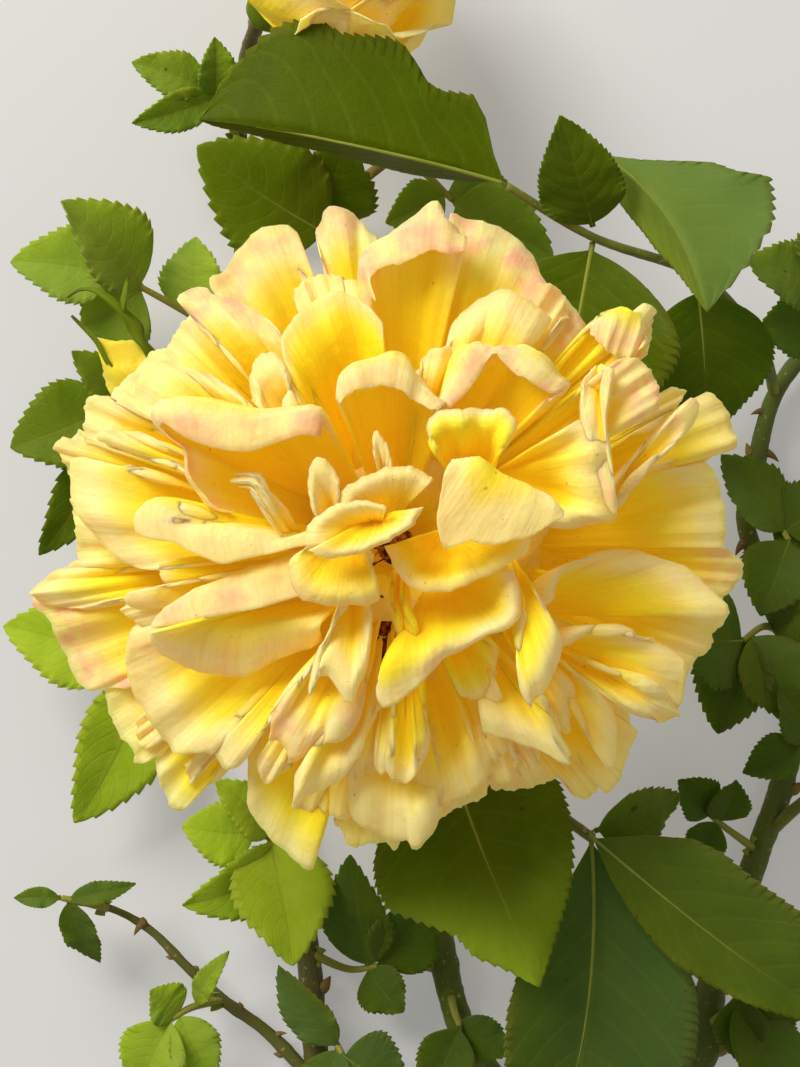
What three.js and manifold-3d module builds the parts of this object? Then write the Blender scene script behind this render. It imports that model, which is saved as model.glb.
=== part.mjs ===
// A cut flowering branch of a yellow garden rose, lying on its back on level ground.
// Millimetres, +Z up. The origin is the centre of the flat cut at the foot of the main cane,
// +Y runs from the cut towards the tip of the branch, and the open bloom faces +Z.
import * as THREE from "three";
import { mergeVertices } from "three/addons/utils/BufferGeometryUtils.js";
import Module from "manifold-3d";

// ---- Driving dimensions ----
const BLOOM_WIDTH = 100; // an open bloom, petal tip to petal tip
const BLOOM_PLANE = 62; // height of the bloom's widest ring above the ground
const BLOOM_TOP = 34; // from the widest ring to the highest petals
const BLOOM_DEPTH = 20; // from the widest ring down to the hip
const HIP = { radius: 5.2, height: 9 };
const SEPAL = { length: 21, width: 6, count: 5 };
const EYE_ABOVE_PLANE = 300; // the layout is drawn as seen from this far above the bloom
const LEAF_THICKNESS = 1.1;
const STALK = { foot: 0.85, tip: 0.6 };
const GAP = 0.3; // clearance between neighbouring solids
const SIMPLIFY = 0.12; // facets flatter than this are merged
const LIMB_SIDES = 7;
const STALK_SIDES = 4;

const wasm = await Module();
wasm.setup();

// ---- Finishes ----
const finish = (color, roughness) => new THREE.MeshStandardMaterial({ color, roughness, metalness: 0 });
const OLD_CANE = finish(0x5d5a33, 0.75);
const GREEN_CANE = finish(0x5f7430, 0.6);
const LEAF_DARK = finish(0x3d5417, 0.5);
const LEAF_FRESH = finish(0x6f9422, 0.5);
const PETAL = finish(0xf5d765, 0.55);
const SEPAL_GREEN = finish(0x64812f, 0.6);

// ---- Layout ----

/** A point drawn in the plane of the bloom's widest ring, moved along the line of sight to its own height. */
function lay([x, y, z]) {
  const spread = (EYE_ABOVE_PLANE + BLOOM_PLANE - z) / EYE_ABOVE_PLANE;
  return new THREE.Vector3(x * spread, y * spread, z);
}

// ---- Solids ----

/** A closed three.js geometry as a manifold-3d solid. */
function solidOf(geometry) {
  const bare = geometry.clone();
  bare.deleteAttribute("normal");
  bare.deleteAttribute("uv");
  const merged = mergeVertices(bare, 1e-4);
  return new wasm.Manifold(
    new wasm.Mesh({
      numProp: 3,
      vertProperties: merged.attributes.position.array,
      triVerts: new Uint32Array(merged.index.array),
    }),
  );
}

/** A manifold-3d solid as a three.js geometry. */
function geometryOf(solid) {
  const mesh = solid.getMesh();
  const geometry = new THREE.BufferGeometry();
  geometry.setAttribute("position", new THREE.BufferAttribute(new Float32Array(mesh.vertProperties), 3));
  geometry.setIndex(new THREE.BufferAttribute(new Uint32Array(mesh.triVerts), 1));
  geometry.computeVertexNormals();
  return geometry;
}

/** Moves every vertex of a geometry to where place(vertex) says. */
function reshape(geometry, place) {
  const position = geometry.attributes.position;
  const vertex = new THREE.Vector3();
  for (let i = 0; i < position.count; i++) {
    vertex.fromBufferAttribute(position, i);
    const moved = place(vertex);
    position.setXYZ(i, moved.x, moved.y, moved.z);
  }
  return geometry;
}

/** A tapering limb along a smooth curve through points: a closed cylinder bent to the curve. */
function limb(points, footRadius, tipRadius, options = {}) {
  const { sides = LIMB_SIDES, steps = 4 * (points.length - 1), grow = 0 } = options;
  const curve = new THREE.CatmullRomCurve3(points, false, "centripetal");
  const frames = curve.computeFrenetFrames(steps, false);
  const cylinder = new THREE.CylinderGeometry(1, 1, 1, sides, steps);
  return solidOf(
    reshape(cylinder, ({ x, y, z }) => {
      const step = Math.round((0.5 - y) * steps);
      const along = step / steps;
      const radius = footRadius + (tipRadius - footRadius) * along + grow;
      const end = step === 0 ? -grow : step === steps ? grow : 0;
      return curve
        .getPointAt(along)
        .addScaledVector(frames.tangents[step], end)
        .addScaledVector(frames.normals[step], x * radius)
        .addScaledVector(frames.binormals[step], z * radius);
    }),
  );
}

/** How wide a leaflet is along its length, as a share of its widest: rounded foot, drawn-out tip. */
const leafWidth = (along) => Math.sin(Math.PI * along ** 0.8) ** 0.8 * (1 - 0.25 * along) * 1.12;

/**
 * One leaflet as a thin closed blade from its base to its tip.
 * roll lifts its left half, fold lifts both halves, arch bows the midrib up and bow bends it to the left.
 */
function leaflet(base, tip, width, { roll = 0, fold = 12, arch = 0.08, bow = 0, grow = 0, steps = 6 } = {}) {
  const chord = new THREE.Vector3().subVectors(tip, base);
  const length = chord.length();
  chord.normalize();
  const side = new THREE.Vector3().crossVectors(new THREE.Vector3(0, 0, 1), chord).normalize();
  side.applyAxisAngle(chord, THREE.MathUtils.degToRad(roll));
  const normal = new THREE.Vector3().crossVectors(chord, side);
  const lift = THREE.MathUtils.degToRad(fold);
  const slab = new THREE.BoxGeometry(1, 1, 1, steps, 2, 1);
  return solidOf(
    reshape(slab, ({ x, y, z }) => {
      const along = x + 0.5;
      const across = 2 * y;
      const half = Math.max(0.5, 0.5 * width * leafWidth(along)) + grow;
      const hump = 4 * along * (1 - along);
      return base
        .clone()
        .addScaledVector(chord, along * length + 2 * x * grow)
        .addScaledVector(side, across * half * Math.cos(lift) + bow * length * hump)
        .addScaledVector(normal, Math.abs(across) * half * Math.sin(lift) + arch * length * hump)
        .addScaledVector(normal, z * (LEAF_THICKNESS + 2 * grow));
    }),
  );
}

/** A compound leaf: a thin stalk with an end leaflet and pairs of side leaflets, as one uneven solid. */
function spray({ stalk, tips }, grow) {
  const curve = new THREE.CatmullRomCurve3(stalk.map(lay), false, "centripetal");
  let joined = limb(stalk.map(lay), STALK.foot, STALK.tip, { sides: STALK_SIDES, steps: 3, grow });
  tips.forEach(([x, y, z, width], i) => {
    const base = curve.getPointAt(sprayStation(i));
    const shape = { roll: sprayRoll(i), fold: 14, arch: 0.07, grow, steps: 3 };
    joined = joined.add(leaflet(base, lay([x, y, z]), width, shape));
  });
  return joined;
}

/** Where leaflet i of a compound leaf sits on its stalk: one at the end, then pairs going back. */
const sprayStation = (i) => (i === 0 ? 1 : 0.86 - 0.36 * Math.floor((i - 1) / 2));

/** How far leaflet i of a compound leaf is turned about its midrib, in degrees. */
const sprayRoll = (i) => [8, 24, -20, -16, 18][i % 5];

/** The outline of the open bloom: [bearing in degrees, reach as a share of half its width]. */
const BLOOM_OUTLINE = [
  [0, 0.98], [21, 1.02], [41, 0.95], [57, 0.84], [81, 0.93], [99, 0.91], [112, 0.9], [130, 0.88],
  [154, 0.92], [165, 0.95], [189, 1.0], [207, 0.93], [232, 0.93], [257, 0.95], [275, 0.87], [291, 0.76],
  [309, 0.94], [328, 0.97], [347, 0.98],
];

/** The bloom's reach at a bearing, between the outline's own bearings. */
function bloomReach(bearing) {
  const turn = ((bearing % 360) + 360) % 360;
  const after = BLOOM_OUTLINE.findIndex(([angle]) => angle > turn);
  const next = after < 0 ? [360, BLOOM_OUTLINE[0][1]] : BLOOM_OUTLINE[after];
  const last = BLOOM_OUTLINE[(after < 0 ? BLOOM_OUTLINE.length : after) - 1];
  const share = (turn - last[0]) / (next[0] - last[0]);
  return (last[1] + (next[1] - last[1]) * share * share * (3 - 2 * share)) * (BLOOM_WIDTH / 2);
}

/** The open bloom: a lobed dome over a shallow bowl that narrows to the hip. */
function bloom(grow) {
  const ball = new THREE.SphereGeometry(1, 28, 11);
  const centre = lay(BLOOM_CENTRE);
  return solidOf(
    reshape(ball, ({ x, y, z }) => {
      const level = y;
      const ring = Math.hypot(x, z);
      const bearing = THREE.MathUtils.radToDeg(Math.atan2(-z, x));
      const ruffle = 1 + 0.05 * Math.sin(THREE.MathUtils.degToRad(5 * bearing) + 4 * level) * ring;
      const spread = grow * Math.min(1, 4 * ring);
      const reach = bloomReach(bearing) * (level < 0 ? ring ** 1.5 : ring ** 0.8) + spread;
      const height = level < 0 ? level * BLOOM_DEPTH : level * BLOOM_TOP * ruffle;
      const out = THREE.MathUtils.degToRad(bearing);
      const shift = BLOOM_LEAN * Math.max(0, -level);
      return new THREE.Vector3(
        centre.x + shift + Math.cos(out) * reach,
        centre.y - shift + Math.sin(out) * reach,
        BLOOM_PLANE + height + Math.sign(level) * grow,
      );
    }),
  );
}

/** Outlines of turned bodies: [share of the radius, share of the length]. */
const HIP_SHAPE = [[0, 0], [0.5, 0], [0.95, 0.35], [1, 0.65], [0.8, 1], [0, 1]];
const CUP_SHAPE = [[0, 0], [0.14, 0], [0.17, 0.1], [0.45, 0.3], [0.86, 0.55], [1, 0.8], [0.8, 1], [0, 1.04]];
const BUD_SHAPE = [[0, 0], [0.5, 0], [0.62, 0.15], [0.95, 0.4], [1, 0.6], [0.62, 0.88], [0.12, 1], [0, 1]];

/** A turned body's outline at full size, grown outwards on every side. */
const outline = (shape, radius, length, grow) =>
  shape.map(([r, h]) => new THREE.Vector2(r === 0 ? 0 : r * radius + grow, h * (length + 2 * grow) - grow));

/** The turn that brings +Y onto an axis. */
const turnOnto = (axis) =>
  new THREE.Quaternion().setFromUnitVectors(new THREE.Vector3(0, 1, 0), axis.clone().normalize());

/** The hip under the bloom with its turned-back sepals. */
function calyx(grow) {
  const foot = lay(HIP_CENTRE);
  const hip = new THREE.LatheGeometry(outline(HIP_SHAPE, HIP.radius, HIP.height, grow), 8);
  hip.rotateX(Math.PI / 2);
  hip.translate(foot.x, foot.y, foot.z);
  let joined = solidOf(hip);
  for (let i = 0; i < SEPAL.count; i++) {
    const bearing = (2 * Math.PI * (i + 0.35)) / SEPAL.count;
    const way = new THREE.Vector3(Math.cos(bearing), Math.sin(bearing), 0);
    const out = (radius, height) => foot.clone().addScaledVector(way, radius).setZ(foot.z + height);
    const base = out(HIP.radius * 0.5, HIP.height - 2.2);
    const tip = out(SEPAL.length, HIP.height - 6);
    joined = joined.add(leaflet(base, tip, SEPAL.width, { arch: -0.06, grow, steps: 3 }));
  }
  return joined;
}

/** The half-open bloom at the tip of the left cane: an uneven cup on its own hip, seen from behind. */
function topBloom(grow) {
  const hip = lay(TOP_BLOOM.hip);
  const mouth = lay(TOP_BLOOM.mouth);
  const axis = new THREE.Vector3().subVectors(mouth, hip);
  const length = axis.length();
  const turn = turnOnto(axis);
  const round = new THREE.LatheGeometry(outline(CUP_SHAPE, TOP_BLOOM.radius, length, grow), 15);
  const cup = reshape(round, ({ x, y, z }) => {
    const bearing = Math.atan2(z, x);
    const lobes = 1 + 0.09 * Math.sin(5 * bearing + 1) * Math.min(1, y / length);
    return new THREE.Vector3(x * lobes, y, z * lobes).applyQuaternion(turn).add(hip);
  });
  return solidOf(cup);
}

/** The bud: a pointed body with long sepals. */
function bud(grow) {
  const foot = lay(BUD.foot);
  const tip = lay(BUD.tip);
  const axis = new THREE.Vector3().subVectors(tip, foot);
  const length = axis.length();
  const body = new THREE.LatheGeometry(outline(BUD_SHAPE, BUD.radius, length, grow), 10);
  body.applyQuaternion(turnOnto(axis));
  body.translate(foot.x, foot.y, foot.z);
  return BUD.sepals.reduce(
    (joined, path) => joined.add(limb(path.map(lay), 1.2, 0.5, { sides: STALK_SIDES, steps: 4, grow })),
    solidOf(body),
  );
}

// ---- The plant: points are [right, up, height] as laid out in the plane of the bloom ----
const BLOOM_CENTRE = [-2, -0.5, BLOOM_PLANE];
const BLOOM_LEAN = 1.4; // how far the foot of the bloom stands off its centre
const HIP_CENTRE = [-0.5, -1.5, BLOOM_PLANE - BLOOM_DEPTH - GAP - HIP.height];

const LIMBS = [
  {
    name: "main_cane",
    path: [
      [20, -108, 4], [20, -101, 4], [25, -89, 4], [35, -80, 4], [41.5, -74.5, 4], [44, -62, 3.8],
      [49.5, -46.5, 3.6], [54.5, -31.5, 3.4], [55.5, -20.5, 3.3], [52.5, -8.5, 3.2], [48.5, 1, 3.1],
      [50, 10.5, 3], [52.5, 19.5, 3.4], [57.5, 26.5, 5], [63, 34, 8],
    ],
    foot: 4,
    tip: 2.2,
    material: OLD_CANE,
  },
  {
    name: "left_cane_foot",
    path: [[25, -89, 4], [7, -87.5, 3.2], [-7, -83, 2.9], [-11.6, -76, 2.8]],
    foot: 2.9,
    tip: 2.6,
    material: OLD_CANE,
  },
  {
    name: "left_cane",
    path: [
      [-11.6, -76, 2.8], [-12.5, -62.5, 2.6], [-13.5, -53.5, 2.5], [-15.5, -40, 2.4], [-18, -23.5, 2.3],
      [-20.5, -3.5, 2.2], [-21.5, 16, 2.1], [-22, 32.5, 2.1], [-22, 46.5, 2.4], [-22.5, 56.5, 6],
      [-21.5, 66.5, 15], [-19.9, 71.6, 24.6],
    ],
    foot: 2.6,
    tip: 1.5,
    material: OLD_CANE,
  },
  {
    name: "bloom_stem",
    path: [
      [25, -89, 4], [15.5, -79.5, 3.2], [9.5, -71, 3], [7, -64, 3], [4.5, -48.5, 3], [1.5, -31.5, 4],
      [0.5, -17.5, 9], [-0.5, -8, 18], [-0.5, -3, 27], [-0.5, -1.5, 32.1],
    ],
    foot: 2.7,
    tip: 2.1,
    material: GREEN_CANE,
  },
  {
    name: "bud_stem",
    path: [[0.5, -17.5, 9], [-10, -6, 15], [-22.5, 7.5, 25], [-31.6, 17.6, 37.2]],
    foot: 1.3,
    tip: 1,
    material: GREEN_CANE,
  },
  {
    name: "left_low_shoot",
    path: [
      [-7, -83, 2.9], [-14, -74.5, 3], [-19, -69.5, 4], [-24.5, -65.5, 6], [-30, -60.5, 8], [-35, -55.5, 9],
      [-40.5, -52.5, 10], [-46, -51.5, 11],
    ],
    foot: 1.8,
    tip: 0.8,
    material: OLD_CANE,
  },
  {
    name: "right_shoot",
    path: [[51, -42.5, 3.5], [56, -38, 8], [63, -33, 14], [68, -28, 18]],
    foot: 1.4,
    tip: 0.9,
    material: GREEN_CANE,
  },
  {
    name: "top_shoot",
    path: [[-22, 38.5, 2.2], [-14, 44.5, 7], [-7.5, 48, 11], [0, 53.5, 15]],
    foot: 1.2,
    tip: 0.8,
    material: GREEN_CANE,
  },
];

const STALKS = [
  {
    name: "upper_leaf_stalk",
    path: [[52.5, 19.5, 3.4], [50.5, 26, 15], [42, 36, 30], [27, 41.5, 38], [15, 48.6, 43.5]],
    foot: 1.2,
    tip: 0.8,
  },
  {
    name: "lower_leaf_stalk",
    path: [[1.5, -31.5, 4], [3, -30.5, 16], [5.5, -30.5, 29], [16, -35, 36], [26.8, -42.6, 38.4]],
    foot: 1.3,
    tip: 0.9,
  },
];

const LEAFLETS = [
  {
    name: "upper_leaf_end",
    base: [14.5, 49, 44], tip: [-28, 58, 46], width: 30, roll: -42, fold: -44, arch: 0.03,
  },
  {
    name: "upper_leaf_inner_left",
    base: [27, 43, 39], tip: [22.5, 58.5, 50], width: 15, roll: -8, fold: 8,
  },
  {
    name: "upper_leaf_outer_left",
    base: [27.5, 52, 36], tip: [43, 31, 50], width: 27, roll: 34, fold: -34, bow: 0.2,
  },
  {
    name: "upper_leaf_inner_right",
    base: [27, 40.8, 36.9], tip: [22, 12, 27], width: 22, roll: 10, fold: 10,
  },
  {
    name: "upper_leaf_outer_right",
    base: [41.5, 34.5, 29], tip: [44.5, 13.5, 22], width: 24, roll: -12, fold: 8,
  },
  {
    name: "lower_leaf_left",
    base: [7, -31.8, 32.6], tip: [19.5, -63.5, 45], width: 30, roll: 4, fold: 8, arch: 0.1,
  },
  {
    name: "lower_leaf_right",
    base: [27.4, -42.9, 39.3], tip: [61, -71, 34], width: 23, roll: 6, fold: 10, arch: 0.06,
  },
  {
    name: "lower_leaf_end",
    base: [26.8, -43.6, 37.6], tip: [21, -87, 26], width: 31, roll: -4, fold: 8, arch: 0.04,
  },
  {
    name: "lower_leaf_small",
    base: [27.2, -41.6, 37.4], tip: [39, -36.5, 28], width: 10, roll: 20, fold: 12,
  },
];

const SPRAYS = [
  {
    name: "left_upper_spray",
    material: LEAF_DARK,
    stalk: [[-21.5, 25.5, 2.1], [-30, 31, 13], [-39, 36, 19]],
    tips: [[-54.5, 38, 21, 13], [-47.5, 46.5, 28, 15], [-44.5, 29, 17, 15], [-28.5, 41.5, 15, 12]],
  },
  {
    name: "left_middle_spray",
    material: LEAF_DARK,
    stalk: [[-20.5, 4.5, 2.2], [-33, 12, 10], [-40, 18, 15]],
    tips: [[-54.5, 12, 17, 15], [-46, 25.5, 20, 10], [-50.5, -3, 9, 11]],
  },
  {
    name: "left_lower_spray",
    material: LEAF_FRESH,
    stalk: [[-17.5, -26, 2.3], [-29.5, -20, 9], [-38, -18, 13]],
    tips: [[-55.5, -13, 15, 15], [-44, -7, 17, 10], [-45.5, -40.5, 13, 16]],
  },
  {
    name: "left_foot_spray",
    material: LEAF_FRESH,
    stalk: [[-14, -50, 2.5], [-15.5, -44, 9], [-20, -42, 13]],
    tips: [[-30.5, -41, 15, 11], [-26, -34.5, 18, 9], [-15, -60.5, 20, 17], [-30.5, -52, 18, 12]],
  },
  {
    name: "left_twig_spray",
    material: LEAF_DARK,
    stalk: [[-41, -52.4, 10], [-43.5, -51.8, 13], [-47.5, -51, 14]],
    tips: [[-54, -51, 14, 5], [-43.5, -61.5, 8, 9], [-39, -46, 16, 6]],
  },
  {
    name: "left_ground_spray",
    material: LEAF_FRESH,
    stalk: [[-25, -65.2, 6.2], [-29.5, -66.5, 11], [-32, -68, 13]],
    tips: [[-36.5, -78, 13, 12], [-38, -64.5, 15, 9], [-26, -77, 12, 10], [-24, -57.5, 16, 7]],
  },
  {
    name: "foot_spray",
    material: LEAF_DARK,
    stalk: [[-12.4, -65.5, 2.6], [-10, -69.5, 7], [-8, -73, 10]],
    tips: [[1, -77.5, 12, 15], [-10, -84, 8, 12], [-17, -60.5, 11, 9]],
  },
  {
    name: "middle_low_spray",
    material: LEAF_DARK,
    stalk: [[-13, -58.5, 2.6], [-7, -61, 7], [-3, -60.5, 10]],
    tips: [[4.5, -51.5, 13, 13], [0.5, -67, 11, 10], [-7, -45, 15, 12]],
  },
  {
    name: "centre_low_spray",
    material: LEAF_DARK,
    stalk: [[7, -64, 3], [7.6, -66.8, 8], [8.4, -69, 11.5]],
    tips: [[4.4, -78.5, 10, 10], [15.5, -72.8, 11.5, 9]],
  },
  {
    name: "top_left_spray",
    material: LEAF_FRESH,
    stalk: [[-22.5, 55, 5.3], [-25, 59.5, 12], [-27, 62, 15]],
    tips: [[-37.5, 66, 18, 8], [-26, 69.5, 18, 7], [-37.5, 57.5, 20, 7], [-17, 62, 20, 9]],
  },
  {
    name: "top_inner_spray",
    material: LEAF_DARK,
    stalk: [[-22, 49, 2.7], [-18, 47, 14], [-15, 45.5, 22]],
    tips: [[-8, 38, 26, 15], [-28, 56, 27, 17], [-8, 56, 22, 14]],
  },
  {
    name: "top_middle_spray",
    material: LEAF_FRESH,
    stalk: [[0, 53.5, 15], [4, 50, 18], [7.5, 46.5, 18]],
    tips: [[21.5, 38.5, 22, 14], [15.5, 48.5, 14, 9], [-2, 43.5, 20, 9]],
  },
  {
    name: "right_top_spray",
    material: LEAF_DARK,
    stalk: [[57.5, 26.5, 5], [58.5, 31, 13], [58.5, 35.5, 17]],
    tips: [[63, 46, 20, 14], [48.5, 38.5, 22, 12], [68, 33, 18, 13], [50, 28.5, 15, 11]],
  },
  {
    name: "right_middle_spray",
    material: LEAF_DARK,
    stalk: [[48.5, 4.5, 3], [52.5, 2, 9], [54.5, -1, 13]],
    tips: [[50.5, -11.5, 15, 13], [45, 11, 12, 12], [62, 5, 13, 12], [66, -9, 12, 13]],
  },
  {
    name: "right_lower_spray",
    material: LEAF_DARK,
    stalk: [[54.8, -15, 3.2], [51, -13, 11], [48, -15, 15]],
    tips: [[39, -15, 19, 16], [44.5, -28, 14, 14], [56, -27, 17, 13], [58, -10, 18, 10]],
  },
  {
    name: "right_shoot_spray",
    material: LEAF_DARK,
    stalk: [[62.8, -33.1, 13.8], [60, -29.5, 17], [56, -29.5, 19]],
    tips: [[48, -33.5, 20, 8], [53, -22, 20, 9]],
  },
  {
    name: "right_tip_spray",
    material: LEAF_DARK,
    stalk: [[66.5, -29.6, 16.8], [69, -27, 19], [70.5, -24, 20]],
    tips: [[74, -12, 20, 13], [80, -26, 20, 12], [63, -17.5, 22, 11]],
  },
  {
    name: "low_right_spray",
    material: LEAF_DARK,
    stalk: [[50.2, -44.5, 3.6], [46, -41.5, 9], [43.5, -39.5, 12]],
    tips: [[39, -34.5, 14, 8], [47, -34.5, 14, 8], [40, -46, 10, 8]],
  },
  {
    name: "bottom_right_spray",
    material: LEAF_DARK,
    stalk: [[42.6, -69, 4], [45.5, -67, 9], [47.5, -64.5, 11]],
    tips: [[48, -74, 9, 9], [58, -62, 11, 13], [54, -82, 12, 13]],
  },
];

const TOP_BLOOM = { hip: [-19.7, 71.9, 25.1], mouth: [-3, 91, 43], radius: 21 };
const BUD = {
  foot: [-32, 18, 38],
  tip: [-40.5, 28, 46],
  radius: 4.4,
  sepals: [
    [[-32.2, 19.4, 39], [-39, 20, 41], [-43, 26, 44], [-46, 30.3, 47]],
    [[-32.2, 18.4, 39.5], [-33, 24, 44], [-37, 31, 47], [-41, 33.8, 48], [-46, 33, 47]],
  ],
};

// ---- Assembly: each node keeps clear of those placed before it ----
const branch = new THREE.Group();
const placed = [];

/** Whether two solids' boxes meet. */
function near(a, b) {
  const [p, q] = [a.boundingBox(), b.boundingBox()];
  return [0, 1, 2].every((axis) => p.min[axis] <= q.max[axis] && q.min[axis] <= p.max[axis]);
}

/** Adds a node made by make(grow), cut back from every grown neighbour, and keeps its largest body. */
function place(name, material, make) {
  let solid = make(0);
  for (const grown of placed) if (near(solid, grown)) solid = solid.subtract(grown);
  const bodies = solid.simplify(SIMPLIFY).decompose().sort((a, b) => b.volume() - a.volume());
  placed.push(make(GAP));
  const mesh = new THREE.Mesh(geometryOf(bodies[0]), material);
  mesh.name = name;
  branch.add(mesh);
}

for (const { name, path, foot, tip, material } of LIMBS) {
  place(name, material, (grow) => limb(path.map(lay), foot, tip, { grow, steps: 2 * (path.length - 1) }));
}
place("hip_and_sepals", SEPAL_GREEN, calyx);
place("open_bloom", PETAL, bloom);
place("top_bloom", PETAL, topBloom);
place("bud", SEPAL_GREEN, bud);
for (const { name, path, foot, tip } of STALKS) {
  place(name, GREEN_CANE, (grow) => limb(path.map(lay), foot, tip, { sides: STALK_SIDES, steps: 10, grow }));
}
for (const { name, base, tip, width, ...shape } of LEAFLETS) {
  place(name, LEAF_DARK, (grow) => leaflet(lay(base), lay(tip), width, { ...shape, grow, steps: 6 }));
}
for (const row of SPRAYS) place(row.name, row.material, (grow) => spray(row, grow));

// The foot of the main cane is the origin.
branch.position.copy(lay(LIMBS[0].path[0])).negate();

export default branch;
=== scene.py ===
"""A cut flowering branch of a yellow double garden rose, lying on its back on a pale floor.

The branch is laid out as it is seen from an eye point straight above the open bloom. A place is
written (x, y, z) in millimetres: x and y are drawn in the plane of the bloom's widest ring, and z
is the real height above the ground. `lay` moves such a place along its line of sight to its own
height, and into the frame of the CAD model, which starts at the pruning cut.
"""
import logging
import math
from collections.abc import Callable, Sequence
from dataclasses import dataclass, field
from enum import Enum

import bpy
import numpy as np
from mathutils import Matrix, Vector


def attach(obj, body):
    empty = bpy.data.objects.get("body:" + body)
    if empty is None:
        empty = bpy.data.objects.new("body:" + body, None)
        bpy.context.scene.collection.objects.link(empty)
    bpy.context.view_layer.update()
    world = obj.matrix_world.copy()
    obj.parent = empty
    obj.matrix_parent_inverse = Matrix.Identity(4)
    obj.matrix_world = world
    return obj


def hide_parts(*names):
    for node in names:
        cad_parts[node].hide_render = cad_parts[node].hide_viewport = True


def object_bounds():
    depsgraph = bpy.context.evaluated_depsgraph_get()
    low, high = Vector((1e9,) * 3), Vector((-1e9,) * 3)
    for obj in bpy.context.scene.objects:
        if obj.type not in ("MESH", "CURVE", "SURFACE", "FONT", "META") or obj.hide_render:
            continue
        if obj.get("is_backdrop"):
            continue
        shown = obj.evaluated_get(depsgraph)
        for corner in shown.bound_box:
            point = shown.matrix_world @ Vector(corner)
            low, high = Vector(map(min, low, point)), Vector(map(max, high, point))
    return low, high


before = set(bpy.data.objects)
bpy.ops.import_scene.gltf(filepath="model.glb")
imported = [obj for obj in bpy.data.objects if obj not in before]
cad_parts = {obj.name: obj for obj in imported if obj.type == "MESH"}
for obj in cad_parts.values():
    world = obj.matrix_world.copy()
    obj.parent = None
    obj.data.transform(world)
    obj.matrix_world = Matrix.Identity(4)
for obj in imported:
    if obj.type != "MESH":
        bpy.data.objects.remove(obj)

log = logging.getLogger("rose")

MM = 0.001
BLOOM_PLANE = 62.0
EYE_ABOVE_PLANE = 300.0
CUT_END = (20.0, -108.0, 4.0)
PETAL_THICK_MM = 0.42
CLAW_RING_MM = 2.2
PETAL_VALUES = ("rim", "flush", "pale", "edge", "deep", "side")
UPWARDS = np.array([0.0, 0.0, 1.0])
Place = tuple[float, float, float]
Surface = tuple[np.ndarray, np.ndarray, np.ndarray]
Socket = bpy.types.NodeSocket
Source = Socket | float | str
BLOOM_HEART: Place = (-0.5, -1.5, 41.7)


class Slot(Enum):
    """The material slots of the branch."""

    OLD_CANE = "old_cane"
    GREEN_CANE = "green_cane"
    LEAF_DARK = "leaf_dark"
    LEAF_FRESH = "leaf_fresh"
    PETAL = "petal"
    SEPAL = "sepal"


# ---------------------------------------------------------------- places, curves and noise


def sight_spread(z: np.ndarray | float) -> np.ndarray | float:
    """How much a line of sight has spread, at height z, beside the plane of the bloom."""
    return (EYE_ABOVE_PLANE + BLOOM_PLANE - z) / EYE_ABOVE_PLANE


def lay(places: np.ndarray) -> np.ndarray:
    """Moves laid-out places to real ones in the CAD frame.

    Args:
        places: an array whose last axis is x, y, z in layout millimetres.

    Returns:
        The same array in metres, measured from the pruning cut.
    """
    places = np.asarray(places, dtype=float)
    real = places.copy()
    real[..., :2] *= sight_spread(places[..., 2:3])
    cut = np.array(CUT_END)
    cut[:2] *= sight_spread(CUT_END[2])
    return (real - cut) * MM


def smooth(x: np.ndarray | float, low: float = 0.0, high: float = 1.0) -> np.ndarray:
    """A smooth step from 0 at low to 1 at high."""
    t = np.clip((np.asarray(x, dtype=float) - low) / (high - low), 0.0, 1.0)
    return t * t * (3 - 2 * t)


def unit(v: np.ndarray) -> np.ndarray:
    """Vectors along the last axis, scaled to length 1."""
    return v / np.maximum(np.linalg.norm(v, axis=-1, keepdims=True), 1e-12)


def path_through(points: Sequence[Place] | np.ndarray, count: int = 160) -> np.ndarray:
    """A smooth path through points, evenly spaced along its length.

    Args:
        points: the places that the path runs through.
        count: how many places the path is returned as.

    Returns:
        An array of count places.
    """
    p = np.asarray(points, dtype=float)
    p = np.vstack([2 * p[0] - p[1], p, 2 * p[-1] - p[-2]])
    spans = []
    for a, b, c, d in zip(p[:-3], p[1:-2], p[2:-1], p[3:]):
        t = np.linspace(0, 1, 24, endpoint=False)[:, None]
        lengths = [max(np.linalg.norm(q - r), 1e-6) ** 0.5 for q, r in ((b, a), (c, b), (d, c))]
        into = lengths[1] * ((b - a) / lengths[0] - (c - a) / (lengths[0] + lengths[1])) + (c - b)
        out = lengths[1] * ((d - c) / lengths[2] - (d - b) / (lengths[1] + lengths[2])) + (c - b)
        spans.append(
            (2 * t**3 - 3 * t**2 + 1) * b
            + (t**3 - 2 * t**2 + t) * into
            + (-2 * t**3 + 3 * t**2) * c
            + (t**3 - t**2) * out
        )
    dense = np.vstack(spans + [p[-2:-1]])
    run = np.concatenate([[0], np.cumsum(np.linalg.norm(np.diff(dense, axis=0), axis=1))])
    even = np.linspace(0, run[-1], count)
    return np.stack([np.interp(even, run, dense[:, k]) for k in range(3)], axis=1)


def sample(path: np.ndarray, share: np.ndarray) -> np.ndarray:
    """Values of an evenly spaced path at shares 0 to 1 of its length, for an array of shares."""
    at = np.linspace(0, 1, len(path))
    return np.stack([np.interp(share, at, path[:, k]) for k in range(path.shape[1])], axis=-1)


def waves(x: np.ndarray, rng: np.random.Generator, turns: tuple[float, ...]) -> np.ndarray:
    """A sum of sine waves of x with seeded phases, within about 1.

    Args:
        x: where the waves are read.
        rng: gives the phase of each wave.
        turns: how many full waves each one makes for a step of 1 in x.

    Returns:
        The sum at each x.
    """
    fades = [math.exp(-0.25 * i) for i in range(len(turns))]
    total = sum(fade * np.sin(2 * math.pi * (n * x + rng.random())) for fade, n in zip(fades, turns))
    return total / sum(fades)


# ---------------------------------------------------------------- meshes


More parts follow.
